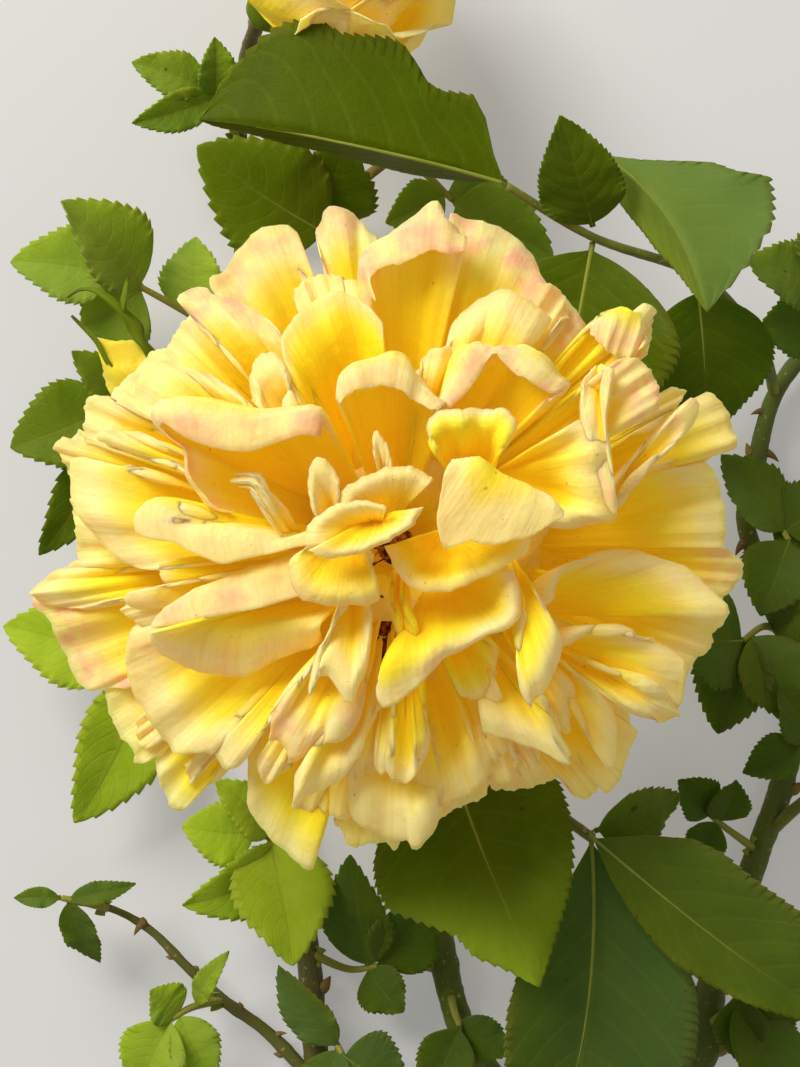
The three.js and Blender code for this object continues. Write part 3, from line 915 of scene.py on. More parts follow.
@dataclass
class RimPetal:
    """One petal laid out by its rim, with the blade drawn in from the rim to the claw.

    Args:
        rim: x and y in turn, of the places that the rim runs through from the right side to the left.
        high: heights at places evenly spread along the rim.
        fold: the same for the line where the blade turns over; empty for FOLD_SHARE of the way out.
        lift: how far the fold stands above the rim, in mm.
        claw: where the petal starts; None for the hip.
        dish: how far the blade sags between its sides, in mm.
        ruffle: height of the waves near the rim, in mm.
        flush, pale: how pink the rim is and how pale the blade is, from 0 to 1; the paleness is painted
            light, on petals that catch the lamp.
        band: how far from the rim the pale colour reaches, in mm.
    """

    rim: tuple[float, ...]
    high: tuple[float, ...]
    fold: tuple[float, ...] = ()
    lift: float = 1.6
    claw: Place | None = None
    dish: float = 1.5
    ruffle: float = 0.8
    flush: float = 0.25
    pale: float = 0.0
    band: float = 15.0
    FOLD_SHARE = 0.84
    OWN_CLAW_MM = 0.7

    def surface(self, rows: int, cols: int, rng: np.random.Generator) -> Surface:
        """The petal's middle surface.

        Args:
            rows: places from claw to rim.
            cols: places along the rim.
            rng: the petal's own random numbers.

        Returns:
            Places (rows, cols, 3) in mm, how near the rim each is (0 to 1), and its thickness share.
        """
        rim = self._line(self.rim, cols)
        rim[:, 2] += self.ruffle * 1.5 * waves(np.linspace(0, 1, cols), rng, (1.3, 2.7, 4.6))
        root = np.array(self.claw if self.claw is not None else BLOOM_HEART, dtype=float)
        out = unit((rim - root) * [1, 1, 0])
        claw = root + out * (CLAW_RING_MM if self.claw is None else self.OWN_CLAW_MM)
        rim += out * (0.22 * waves(np.linspace(0, 1, cols), rng, (5, 9, 14)))[:, None]
        if self.fold:
            fold = self._line(self.fold, cols)
        else:
            fold = claw + self.FOLD_SHARE * (rim - claw)
        fold[:, 2] = rim[:, 2] + self.lift
        # Each line runs from the claw up through the belly and over the fold to the rim.
        v = np.linspace(0, 1, cols)
        belly = claw + 0.45 * (fold - claw)
        belly[:, 2] = claw[:, 2] + 0.68 * (fold[:, 2] - claw[:, 2]) - self.dish * 4 * v * (1 - v)
        shares = 1 - (1 - np.linspace(0, 1, rows)) ** 1.25
        lines = [sample(path_through(np.stack(four), 90), shares) for four in zip(claw, belly, fold, rim)]
        grid = np.stack(lines, axis=1)

        # Dents and fine pleats grow over the last stretch before the rim.
        step = np.linalg.norm(np.diff(grid, axis=0), axis=2)
        left = np.vstack([np.cumsum(step[::-1], axis=0)[::-1], np.zeros((1, cols))])
        normal = unit(np.cross(np.gradient(grid, axis=0), np.gradient(grid, axis=1)))
        u, w = shares[:, None], v[None, :]
        free = smooth(left, 22.0, 3.0)
        buckle = waves(u + 0.4 * w, rng, (1.2, 2.1)) * waves(w - 0.3 * u, rng, (0.9, 1.9))
        pleat = waves(w + 0.04 * u, rng, (6.0, 10.0)) * free
        grid = grid + normal * (free * self.ruffle * 1.6 * buckle + 0.03 * pleat)[..., None]
        return grid, 1 - smooth(left, 0.0, self.band), 1 - 0.6 * smooth(left, 6.0, 0.0)

    def _line(self, places: tuple[float, ...], cols: int) -> np.ndarray:
        """A smooth line at the rim's heights.

        Args:
            places: x and y in turn, of the places that it runs through.
            cols: how many places it is returned as.

        Returns:
            Evenly spaced places (cols, 3), in mm.
        """
        pairs = np.reshape(places, (-1, 2))
        share = np.linspace(0, 1, len(pairs))
        heights = np.interp(share, np.linspace(0, 1, len(self.high)), self.high)
        return path_through(np.column_stack([pairs, heights]), cols)


@dataclass
class OpenBloom:
    """The open double bloom: three visible whorls, the petals packed under them, and dried stamens.

    Args:
        outer, middle, inner: the visible petals, each laid out by its rim.
        rings: how many petals each packed ring has, its reach, height and petal width in mm.
    """

    outer: tuple[RimPetal, ...] = (
        RimPetal((-45.2, -3.8, -46.5, -4.5, -48.1, -5.2, -49.8, -6.4, -50.9, -7.2, -52.1, -8.3, -50, -9.8,
            -47, -10.3, -43, -10.6), (62, 61, 63), flush=0.3, pale=0.2),
        RimPetal((-50, -8.6, -51.6, -9.4, -49.5, -11.3, -48.3, -13.9, -47.2, -16.4, -45.8, -19.5,
            -44.8, -21.2, -43.8, -21.9, -41.5, -21.7, -38, -21.7), (60, 59, 59, 60), flush=1.0),
        RimPetal((-43.8, 12.6, -44.8, 13.9, -46.3, 13.9, -47.5, 13.3, -48.5, 12.1, -47.6, 11, -46.9, 9.5,
            -46.2, 8.4), (60,), flush=0.8),
        RimPetal((-46.2, 5, -45.8, 3, -45.4, 0, -45.2, -2, -45.1, -3.4, -44, -4.7, -42.5, -5.8), (61,)),
        RimPetal((-38.5, 18.5, -41, 19.2, -43, 19.3, -44, 18.6, -44.1, 16.5, -44.2, 14.2, -43.9, 12.6),
            (62, 61, 62), flush=0.3, pale=0.4),
        RimPetal((-33, 26, -35, 25.3, -37, 23, -38.5, 21.5, -40.5, 19.3, -40.5, 17), (61,), pale=0.4),
        RimPetal((-28, 31.5, -29, 31, -30.5, 29.5, -31.8, 27.5, -33, 25.3, -34, 23), (62,), pale=0.4),
        RimPetal((-14.3, 37, -13.6, 39.5, -14, 41.5, -15.5, 43, -17.5, 43, -20, 42, -22, 40.5, -23.5, 38.5,
            -24.7, 36.7, -26.5, 35.7, -26.6, 34.3, -25, 33.3), (63, 61, 62, 65), flush=0.7, pale=0.8),
        RimPetal((-3, 41.2, -4.5, 42.8, -7, 44.8, -9.5, 45.6, -10.8, 44, -11.8, 42, -11.5, 40.3, -11, 38.5,
            -10, 36.8, -8.5, 35.6), (61, 60, 63), flush=0.7, pale=0.3),
        RimPetal((-5, 35, -8, 35.7, -10.3, 36.2, -12.5, 36, -14, 34.8, -14.5, 33), (66,)),
        RimPetal((24.5, 26.5, 26, 28.3, 24.5, 31.5, 22, 34, 20.2, 35.5, 19, 38, 17.5, 40.3, 15, 42.2,
            12, 43.7, 9.5, 43.9, 7, 45), (65, 64, 66), flush=1.0, pale=0.3),
        RimPetal((9, 39.5, 7, 39.2, 4, 39.7, 2, 38.6, 0, 37.8, -2, 37.4, -3.6, 36.6, -4.4, 34.8, -4, 32.4),
            (74, 73, 72, 72), (9.4, 41.5, 7.4, 43.4, 6, 45.4, 5, 46.6, 2.5, 44.8, 0, 43.2, -3, 41.2,
            -5.2, 39.2, -5.5, 37, -5, 35, -4.2, 32.5), lift=-2.2, flush=0.9, pale=0.6, ruffle=0.5, band=22),
        RimPetal((36.5, 15.5, 38.5, 17.2, 39.7, 19.2, 40, 20, 38.5, 20.3, 37, 19.8, 36, 19), (65,)),
        RimPetal((42, 10, 45, 11.2, 47.2, 12.2, 46.5, 15, 45.7, 17.5, 44.5, 18.7, 43.2, 19.5, 42.2, 18.6),
            (64,), flush=0.2),
        RimPetal((45.5, -2, 45.5, 3, 44.8, 6, 44, 8.5, 42.5, 10, 39, 10.2), (63, 63, 66), pale=0.2),
        RimPetal((45.1, -9.3, 46, -8.4, 47, -7.2, 47.9, -5.6, 48.1, -4.6, 47.7, -3.8, 46.5, -2.7, 45.5, -2,
            44.5, -0.5), (60,), flush=0.5),
        RimPetal((40.3, -20, 41.3, -17.8, 42, -17.2, 43.3, -16.3, 43.8, -15.3, 43.7, -14.3, 44.5, -13.3,
            45.6, -12, 45.5, -10), (61, 62, 64), pale=0.2),
        RimPetal((27.6, -34, 28.3, -35.9, 29, -36.3, 30, -35.6, 30.9, -34.4, 31.3, -33, 32, -30.8,
            32.9, -28.2, 32.3, -26.8, 32, -25), (60,)),
        RimPetal((12.8, -35.6, 14.5, -35.7, 16.5, -35.8, 19, -35.3, 21, -34.6, 22.3, -34.2, 23.5, -32.5),
            (58,)),
        RimPetal((22.3, -34.2, 23, -35, 24, -36.5, 25.3, -37.1, 26.4, -37.2, 27, -36.5, 27.8, -35.5,
            28, -33), (57,)),
        RimPetal((5.3, -40.3, 7, -39, 9, -38, 11, -37.3, 12.3, -36.5, 12.5, -35.7, 13, -33), (60,)),
        RimPetal((-7, -35, -7.3, -37.5, -6.6, -39.7, -4.5, -41.3, -2.5, -42.3, -0.5, -43, 1.2, -43,
            2, -44.3, 3.2, -43.3, 4.7, -41.5, 5.3, -40.2, 5.8, -37.5, 6, -34), (65, 64, 65), pale=0.5,
            band=16),
        RimPetal((-9.5, -39.9, -8.5, -41.2, -7, -43.7, -5, -43.6, -3, -43.3, -2, -43.2, -1.2, -44,
            -0.6, -44.4, -0.1, -43.4), (59,)),
        RimPetal((2, -36, 4, -38, 6.5, -38, 9, -37, 11.5, -35, 13, -32, 13.5, -28), (66, 65, 66), pale=0.2),
        RimPetal((-14.9, -38.4, -13, -38.8, -11, -39.4, -8.5, -39.8, -7, -39.5, -6, -37), (62,)),
        RimPetal((-21.3, -31, -21.2, -33, -21.1, -35, -21.3, -38, -20.4, -39.9, -19.5, -41.2, -18, -42.8,
            -16, -44.5, -14.5, -46, -13.3, -46.9, -12.3, -47.1, -11.8, -46, -11.5, -44, -11.3, -42,
            -11.3, -40.5, -12, -38), (61, 60, 61), pale=0.3, band=9),
        RimPetal((-34, -31.5, -34.1, -33.3, -33.5, -35, -33, -37, -32, -38.5, -30.6, -38.9, -29.3, -37.6,
            -28.3, -35.5, -26.5, -35.1, -24.9, -34.6, -24, -33.4), (58,), band=7),
        RimPetal((-30.5, -31, -30, -33, -29.5, -35.3, -28.8, -34, -28.1, -31.4), (60,), pale=0.6),
        RimPetal((-41.5, -21.7, -41.2, -23.4, -40.5, -25.5, -39.8, -27.2, -38.7, -28.9, -37.6, -30,
            -37.1, -31, -37.2, -31.9, -36.6, -32.3, -35.5, -32, -34.2, -31.2, -33, -30.5, -32, -29), (58,)),
        RimPetal((-36.9, -26, -36.9, -28.5, -36.3, -29.8, -35.3, -30, -34.2, -29.5, -33, -28.7), (60,)),
        RimPetal((-36.9, -13, -37.9, -15, -38.3, -17.5, -38.1, -19.7, -37.4, -22, -36.4, -24, -35, -26.3,
            -33.7, -28, -32.5, -29.6, -31.6, -30.7, -29.5, -30.7, -27.5, -30.6, -26, -30.8, -25.5, -28),
            (66, 65, 64, 66), pale=0.1),
    )
    middle: tuple[RimPetal, ...] = (
        RimPetal((-36.5, 8.2, -39, 9.6, -42, 10.3, -44.5, 10.8, -45.9, 10.4, -46.1, 8, -46.1, 5.5,
            -45.6, 3.5, -43.9, 1.2, -42, -1.2, -39.6, -3.4, -37, -4.8, -34.5, -5.2, -32.3, -4.6),
            (68, 66, 67, 70), pale=0.35, band=16),
        RimPetal((-33.7, -4, -33.2, -6.2, -31.5, -6.8, -28, -6.8, -24, -6.3, -21, -5), (70,), band=4),
        RimPetal((-36.6, 13.9, -39.4, 14.6, -42.6, 13.7, -40.8, 12.3, -38.5, 11.5, -36.6, 11.1, -33, 10.5),
            (69,), pale=0.4),
        RimPetal((-23, 20, -26, 22, -29.5, 23.2, -32.5, 23.9, -34.5, 24.1, -36, 22.5, -37, 20.5, -37, 17),
            (70, 67, 68), pale=0.4),
        RimPetal((-16.5, 25.3, -16.6, 27.5, -17.8, 29.3, -19.5, 30.7, -22, 32, -24.8, 33.6, -27.5, 34.4,
            -30, 34.2, -31.2, 33.3, -30, 31.4, -28, 29.3, -26, 27.5), (71, 68, 67, 69), flush=1.0,
            pale=0.7),
        RimPetal((-2.5, 29.5, -4.5, 31.7, -7, 33.4, -9.3, 34, -11.3, 33, -13.3, 31.4, -15.2, 29.8,
            -16.4, 27.3, -16.3, 24.5, -15.3, 21, -14, 18), (73, 72, 73, 75), lift=-0.6, dish=3.0, band=6),
        RimPetal((-16.6, 18.5, -16, 22, -16.4, 24, -17.6, 25.4, -19.2, 25.2, -20.5, 23.8, -21, 21.5,
            -20.7, 18.5), (74,), claw=(-12, 10, 62), pale=0.5),
        RimPetal((19, 28, 20.8, 29.3, 21, 30.2, 19.5, 31.5, 17.5, 33, 15.5, 33.8, 13, 33.5, 10.5, 32.2,
            8.5, 30.8, 7.3, 29, 6.8, 27), (71,), lift=2.5, pale=0.4),
        RimPetal((22, 28, 23.5, 31, 22.5, 34, 20.5, 35, 19, 34.8, 19, 32), (67,), flush=0.6),
        RimPetal((34, 26.2, 32.6, 24.8, 31, 24.6, 29.4, 25.3, 27.8, 26.8, 26.6, 28), (74, 75, 74),
            (34.6, 27, 34.1, 28.5, 33.7, 31, 32.5, 32, 31.2, 31.9, 30, 31, 29, 31.1, 27.8, 30, 26.5, 28.8),
            ruffle=0.7, flush=0.8, pale=0.7, lift=-2.4, band=12),
        RimPetal((34.5, 25, 35.3, 28, 35.2, 31.8, 34, 32, 33, 30), (67,), flush=1.0, pale=0.5),
        RimPetal((36.3, 17, 36.3, 20, 35.8, 21.5, 34.8, 23.2, 33.5, 24.3, 31.5, 24.6, 29.8, 24), (75,),
            flush=0.8, pale=0.3),
        RimPetal((30.8, 5, 34, 8.3, 37.6, 12.4, 40.8, 14.8, 41.8, 17.5, 41.2, 19.2, 39.8, 18.4, 38.2, 16.8,
            35.6, 14.4, 32.2, 10, 29.6, 6), (72, 73, 74, 72), claw=(28, 3.5, 66), flush=0.8, pale=0.6,
            lift=0.8),
        RimPetal((44.5, -12, 45.6, -11.5, 45.9, -10.6, 45, -9.7, 44.5, -9, 43, -7.5, 41, -5.5, 39, -4.2,
            36.4, -3.5, 34, -2.7, 31.6, -2.2, 30, -2.2, 27.5, -2.7, 25.1, -3.9, 23.2, -5.3, 22, -7.2,
            21.7, -8.9, 20.1, -10.5), (67, 68, 71, 73), claw=(13, -11, 57), lift=1.5, pale=0.45, ruffle=0.6,
            dish=-2),
        RimPetal((39, -24.5, 39.5, -23, 39.8, -21.5, 40, -19.5, 39.8, -18, 39, -17, 37.5, -15.9,
            36.1, -15.3, 35.5, -14.5, 34.4, -14.3, 33.7, -14.7, 32.8, -13.5, 31, -12.8, 29.5, -12.7,
            28, -13.2, 26, -14.2, 24.5, -15.2, 22.9, -15.9), (66, 68, 71, 72), claw=(15, -14, 57),
            flush=0.3, pale=0.35, ruffle=0.6, dish=-1),
        RimPetal((32.3, -25.2, 34, -25.8, 36, -26.4, 38, -26.4, 39.7, -26, 39, -24.8, 38, -23.4, 36, -21.8,
            33, -20.8, 30, -20), (66,), claw=(14, -12, 56), pale=0.5, lift=2.5),
        RimPetal((25.6, -24.5, 26.5, -27, 27.5, -29.5, 28.6, -32, 29.3, -33, 29.9, -32, 30.1, -30.5,
            30.3, -28.3, 30.2, -26.3, 29.7, -24.3, 28.5, -22.8, 27, -21.5, 25, -20), (64, 65, 68),
            claw=(14, -11, 57), pale=0.3, lift=2.2),
        RimPetal((20, -24, 21.5, -26, 23.3, -28, 24, -27, 24.2, -24.5, 24, -22, 23.2, -20.3), (67,),
            claw=(12, -9, 57)),
        RimPetal((14.5, -23, 13, -24, 12.2, -25.8, 11.6, -27.9, 13, -28.2, 15, -28.7, 17.5, -29.8,
            19.8, -30.3, 21.5, -31.3, 22.6, -31.9, 24.4, -32.4, 23.4, -31.5, 24.4, -30.6, 24.2, -29.9,
            23.2, -28.3, 22.4, -26.5, 21.9, -25, 20.8, -24.4, 20.2, -23), (72, 71, 71, 72),
            claw=(9, -11, 60), pale=0.5, lift=1.0),
        RimPetal((11.3, -30.5, 11.3, -31.9, 12.5, -32.2, 13.8, -31.5, 15, -30.4, 15.9, -29.4), (66,)),
        RimPetal((12.5, -32, 13, -33.5, 13.5, -34.8, 14.5, -35.1, 15.8, -34.2, 16.2, -32.5, 16.5, -31,
            17, -29.5), (64,)),
        RimPetal((16, -31, 17.5, -32.5, 18.5, -33, 19.5, -32, 19.5, -31), (65,), flush=0.5),
        RimPetal((7.7, -21, 8.3, -22.4, 9.5, -23.1, 10.8, -23.1, 12, -22.4, 13.2, -22.2, 13.3, -20,
            13.1, -16), (72,), band=5),
        RimPetal((-3.5, -31, -3.4, -33, -2.8, -33.7, -1.8, -33.3, -1, -32, -0.9, -29, -1.1, -26),
            (69, 70, 71), claw=(-1, -10, 58)),
        RimPetal((-1.2, -31, -1.3, -33.8, -0.8, -34.8, 0.6, -35, 1.7, -34.4, 2.6, -32.8, 3.7, -31.5,
            4.1, -29.8, 4.3, -27.5), (71,), claw=(1, -10, 58), band=8),
        RimPetal((-8.2, -32, -8.2, -33.9, -6.5, -34.3, -4.5, -33.9, -3, -33, -2.5, -31, -2.8, -28.5),
            (67,)),
        RimPetal((-7, -27.3, -9, -28.5, -11, -30, -13, -31.8, -14.5, -33.5, -14.9, -36, -14.9, -38.3,
            -13.5, -37, -11.5, -36, -9.5, -34.5, -7.5, -33, -6, -31, -5, -28.8, -3.9, -27, -3.3, -25.3),
            (72, 71, 70, 71), claw=(-2.5, -14, 62), pale=0.5, lift=1.2),
        RimPetal((-17.8, -25.5, -18.2, -28, -18.3, -29, -17.4, -29, -16, -30, -15.7, -31.3, -15.2, -32.2,
            -13.8, -31.7, -12, -30.5, -10, -29.2, -8.5, -28.3, -7, -27.3, -5.9, -26, -5.5, -24), (72,),
            flush=0.8, pale=0.3),
        RimPetal((-20, -32, -19.5, -34.3, -18.5, -35, -17.6, -34.4, -17, -33.7, -15.9, -33, -15.3, -31.7,
            -16.4, -30.4, -17.3, -30.3, -17.9, -29.5), (67,), ruffle=0.9),
        RimPetal((-26, -30.8, -25.7, -31.5, -25, -32.5, -24, -33, -22.8, -32.6, -21.5, -31, -20.2, -29.5,
            -19, -27, -18, -25, -16.5, -23.8, -14.2, -21.5, -12.7, -19.3, -11, -16), (66, 67, 70, 76),
            pale=0.35, lift=2.2),
        RimPetal((-38.3, -10, -39.1, -10.8, -37.5, -12, -36, -13.2, -35.2, -13.7, -33, -13.4), (68,),
            ruffle=0.2),
        RimPetal((-21, -4.5, -23, -5.7, -25, -6.5, -27, -6.6, -30.5, -6.8, -33.4, -7.4, -35.7, -7.9,
            -38.2, -8.3, -38.4, -9.5, -37.5, -10.3, -35.5, -10.8), (74, 72, 70), flush=0.3, pale=0.4,
            ruffle=0.2),
        RimPetal((-12, -8, -15, -9, -20, -10.5, -23, -11, -25.5, -11.5, -27.5, -11.9, -30, -12.4,
            -32.5, -12.9, -34.7, -13.1), (79, 77, 76), (-12, -2, -15, -3, -20, -5, -22, -5.5, -24.5, -6.5,
            -27, -7.5, -29.5, -8.4, -31, -9.5, -33.2, -10.8, -34.5, -12.3), lift=-1.0, claw=(-4, -6, 58),
            flush=0.6, pale=0.4, ruffle=0.15),
        RimPetal((-34.9, -13.7, -35, -14.6, -34.6, -15.5, -33.8, -16.5, -32, -17.7, -30, -18.8, -28, -19.4,
            -26, -19.7, -24, -19.9, -22, -19.9, -20, -19.2, -18, -17.9, -15, -16.8, -12.5, -16, -11, -15),
            (74, 70, 69, 72), (-34, -13.6, -32, -13.8, -30, -13.7, -27, -13.5, -24, -13.2, -20, -12.8,
            -17, -12.5, -14, -12.5, -11, -12.5), lift=4.5, claw=(-4, -6, 56), flush=0.4, pale=0.4,
            ruffle=0.2),
    )
    inner: tuple[RimPetal | Petal, ...] = (
        RimPetal((-11, 13.6, -13.2, 13.9, -17, 12.8, -20, 11.8, -22.8, 11.5, -25.6, 11.9, -28.4, 12.7,
            -31, 14, -33.2, 15.6, -33.6, 15.1, -31.8, 13, -30, 11.6, -29.6, 8, -28, 6, -25.7, 3.6,
            -23.4, 3), (82, 83, 82, 79, 76), (-10.8, 15.2, -11.8, 17.8, -15, 17.6, -20, 17.3, -24, 17.9,
            -28, 18.8, -31, 18.9, -33.5, 18.5, -34.8, 17, -34.4, 15.3, -32.3, 13.4, -30.5, 12, -30.2, 8,
            -28.8, 6.2, -26.5, 3.3, -24, 2.8), lift=-1.6, flush=0.9, pale=0.5, dish=4, ruffle=0.3, band=14),
        RimPetal((-12, -1.5, -15, -2, -18, -2.8, -21.6, -3.5, -25.1, -4.3, -27.4, -3.3, -29.7, -2.4,
            -31.6, -1.3, -33.5, -1, -35.5, -0.7, -36.9, 0.2), (80, 79, 77), (-12, 0.5, -15, -0.5, -18, -1.3,
            -20.4, -0.3, -22.8, 0.1, -25.6, 0.85, -27.9, 0.7, -30.2, 0.6, -32, 1.8, -34.3, 4.1, -35.6, 4.6,
            -37, 3), lift=-0.6, claw=(-6, 0, 64), pale=0.5, ruffle=0.2),
        RimPetal((5.2, 17, 4, 17.4, 2, 18.6, 0, 20, -2, 20.6, -4, 20.4, -6, 20, -7.6, 19.2, -8.4, 18),
            (83,), (6.3, 17.8, 4.6, 19, 3.2, 21, 1.8, 23.4, 0.8, 24.9, -1, 25.4, -4, 24.6, -6.5, 23.6,
            -8.5, 21.5, -9, 19), lift=-1.6, flush=0.5, pale=0.4, ruffle=0.4, dish=3, band=13),
        RimPetal((9, 24, 8.5, 25.8, 6, 26.1, 4, 25.6, 2.8, 23.5, 3, 21), (76,), lift=-0.4),
        RimPetal((21, 18.5, 22.6, 19.8, 21, 19.7, 18.6, 21, 16.2, 22.4, 14.4, 24, 13.2, 25.2, 12.2, 24.2,
            11, 22, 9, 19.4, 7, 17.6, 5.7, 17.4), (80, 80.5, 80, 81), (20.6, 19, 24, 21, 22.3, 22.3,
            20.8, 24.4, 19.5, 25.7, 18, 26.4, 15.5, 26.2, 13.6, 26.3, 13, 25.8, 12.4, 26.4, 10, 26.5,
            8.8, 26, 7.6, 23.5, 6.6, 20.5, 5.5, 18), lift=-1.4, flush=1.0, pale=0.4, ruffle=0.4, dish=3,
            band=11),
        RimPetal((15.5, 12.9, 16.2, 15.6, 15, 17.2, 12.4, 17.4, 10, 17.5, 7, 17.3, 4.6, 16.8, 3.5, 15,
            4.4, 12.6), (83,), claw=(9, 5, 64), dish=2.5, band=4),
        RimPetal((6.2, 8.4, 5.7, 6.2, 5.2, 1.9, 5.3, 0.2, 5.8, -1.2, 6.3, -2.1, 7.6, -1.7, 9.8, -1.2,
            12.4, -1.6, 14.3, -1.4, 16.2, -1, 18.2, -0.4, 20.7, 1, 22.7, 2.4), (87, 87, 86), (6.9, 9.9,
            9.5, 10.4, 11.2, 10.3, 12.4, 9.4, 13.6, 8.4, 16.2, 7, 18.2, 6.3, 19.6, 5.5, 21.3, 4.5, 23, 3.1),
            lift=-0.5, claw=(10, 9, 66), dish=-1, pale=0.75, ruffle=0.2, band=18),
        RimPetal((20.8, 0.9, 23.2, 0.7, 25.6, 0.9, 28, 1.6, 30.2, 2.1, 29.6, 8, 28.5, 14, 25, 16), (79,),
            claw=(12, 8, 64), dish=2),
        RimPetal((25.3, 21, 25.2, 18, 25.3, 15, 26, 12, 27.5, 7, 29.5, 3, 30.1, 2.1, 30.3, 4, 29.2, 10,
            29, 15, 29.5, 20, 29.9, 23), (78, 80, 80, 79), claw=(27.7, 24, 73), lift=0.6, dish=0, flush=0.5,
            pale=0.8, ruffle=0.2),
        RimPetal((-2.4, -1.8, -1.4, -3.5, -0.5, -5.3, 0.5, -6.8, 2.3, -7.8, 4.5, -8.2, 6.5, -8.1, 9, -7.3,
            12.4, -5.8, 15.3, -4.2, 17.6, -2.5, 18.3, -1.2, 18.2, -0.3), (83,), claw=(7, 1, 67), dish=2.5,
            lift=0.2, band=5),
        RimPetal((-3.4, -22, -3.1, -23.6, -2.3, -24.4, -1, -24, 1, -22.7, 3.3, -20.5, 4.9, -18.7,
            6.5, -17.3, 8, -16.5, 9.5, -15.8, 11, -14.9, 13, -14, 15, -13.2, 16.4, -12.3, 16.9, -10.8,
            16.7, -8.5, 16, -5), (79, 80, 80, 80), (-3.2, -21, -2.8, -19.5, -1.8, -18.3, -0.7, -17.4,
            0.5, -17, 2, -17.1, 3.5, -16.8, 5, -15.8, 7.5, -15.6, 9.5, -15.3, 11, -14.5, 13, -13.6,
            15, -12.8, 16, -11.8, 16.2, -10, 16, -8, 15.3, -5), lift=1.0, claw=(5, -5, 64), flush=0.5,
            pale=0.5, dish=2, ruffle=0.2, band=7),
        RimPetal((-1, -6, -1.3, -8, -1.3, -10, -0.8, -12, 0, -14.5, 0.8, -16, 1.8, -16.8, 2.5, -16.5,
            2.6, -15, 1.8, -13.5, 0.5, -11.5, 0.3, -9), (77,), claw=(0, -3, 66), band=2),
        RimPetal((-7.5, -10.4, -9, -12, -9.8, -14, -10.9, -16, -11.9, -18, -12.6, -20, -12.9, -22,
            -12.6, -23.1, -12.2, -21.8, -11.6, -20.3, -10.6, -19.9, -9.7, -20.5, -8.4, -22.2, -7.5, -23.7,
            -7, -24, -6.5, -23.3, -5.9, -21.6, -4.9, -19.5, -4.3, -17, -4, -14, -4, -11), (79, 79, 79),
            claw=(-6, -5, 68), lift=0.8, dish=1, ruffle=0.25, pale=0.2),
        RimPetal((17.9, -12, 17.3, -15, 17, -18, 16.8, -20, 16.9, -22, 17.6, -23.4, 18.4, -24.3,
            18.6, -23.2, 19.5, -22.9, 20.2, -22.3, 20.9, -20.6, 21.7, -18.9, 22.5, -17.1, 22.6, -15.3,
            22.1, -13.5, 21.2, -11.9, 20.2, -10.4), (77, 79, 79, 77), claw=(15, -2, 62), lift=1.5,
            dish=-1.5, pale=0.7, ruffle=0.2, band=9),
        RimPetal((-13.7, -2.2, -15.3, -3.5, -15.6, -5, -15, -7.5, -13.7, -9.1, -11, -9.9, -8, -10, -5, -9.9,
            -3.1, -9.3, -3, -8.3, -3.4, -6, -3.9, -4.3, -3.6, -3), (83,), claw=(-7, 1, 72), lift=1.2,
            dish=-0.5, ruffle=0.2, band=8),
        RimPetal((4.7, 7.5, 3.4, 8.5, 2.2, 9.2, -1, 9.3, -2.4, 9, -4.3, 8.2, -6.2, 7.3, -7.9, 6.1,
            -8.9, 4.2), (86,), claw=(-1, 2, 76), lift=0.8, dish=-0.5, pale=0.2, ruffle=0.15, band=8),
        RimPetal((-1.9, 3.6, -3.1, 4.2, -4.8, 4.6, -7, 4.4, -8.9, 4, -10.8, 3, -12.2, 1.8, -13, 0.8,
            -13.2, -0.6, -13, -1.6, -9.8, -2), (87.3,), claw=(-3, 0.5, 78), lift=0.6, dish=-0.3, pale=0.3,
            ruffle=0.15, band=8),
        RimPetal((-12.7, -2.3, -11, -3.4, -8.4, -3.2, -6, -2.9, -3.6, -1.9, -1.2, -0.8, 0.7, 0.4, 2.2, 1.6,
            3.2, 3.7), (88,), claw=(-3, 2.6, 80), lift=0.6, dish=0, pale=0.1, ruffle=0.15, band=6),
        RimPetal((-8.8, 5, -8.5, 7.3, -8.9, 8.5, -10.1, 10, -11.4, 10.8, -12.4, 9.5, -12.8, 7.6, -12.7, 5.2,
            -12.1, 2.8), (86,), claw=(-9, 0, 76), lift=0.5, dish=0, pale=0.6, ruffle=0.15),
        RimPetal((-1, 9.5, -1.7, 12.1, -2.6, 13.6, -3.5, 14.5, -3.8, 13, -3.6, 10.7), (84,),
            claw=(-2, 6, 78), lift=0.2, dish=0, pale=0.3, ruffle=0.1),
        Petal((-24.4, 7.8, 79), 3.5, 175, ((-15, -1, 72), (-17.6, 3.5, 79), (-19.7, 7.4, 81)), cup=-30,
            left=0, right=0, pale=0.8),
        RimPetal((-31, 0.3, -32, 1.8, -33, 2.9, -34.3, 4.1, -35.6, 4.6, -36.5, 3.7, -37.3, 1.6, -36.9, 0.2,
            -35.5, -0.7), (75,), pale=0.4),
    )

    rings: tuple[tuple[int, float, float, float], ...] = (
        (13, 39, 54, 26), (13, 33, 57.5, 23), (12, 23, 62, 19), (9, 13, 66, 13),
    )
    OVAL = 0.93

    def hidden(self) -> list[Petal]:
        """The petals packed under the visible ones.

        Returns:
            Seeded rings of petals, the widest first.
        """
        rng = np.random.default_rng(5)
        made = []
        for count, reach, height, width in self.rings:
            for k in range(count):
                bearing = math.radians(360 * (k + rng.uniform(-0.25, 0.25)) / count)
                out = reach * rng.uniform(0.84, 1.04)
                x = BLOOM_HEART[0] + out * math.cos(bearing)
                y = BLOOM_HEART[1] + self.OVAL * out * math.sin(bearing)
                tip = (x, y, height + rng.uniform(-5.5, 1.5))
                wide, curl = width * rng.uniform(0.9, 1.1), rng.uniform(15, 45)
                made.append(Petal(tip, wide, curl=curl, cup=9, left=10, right=10, ruffle=0.8))
        return made

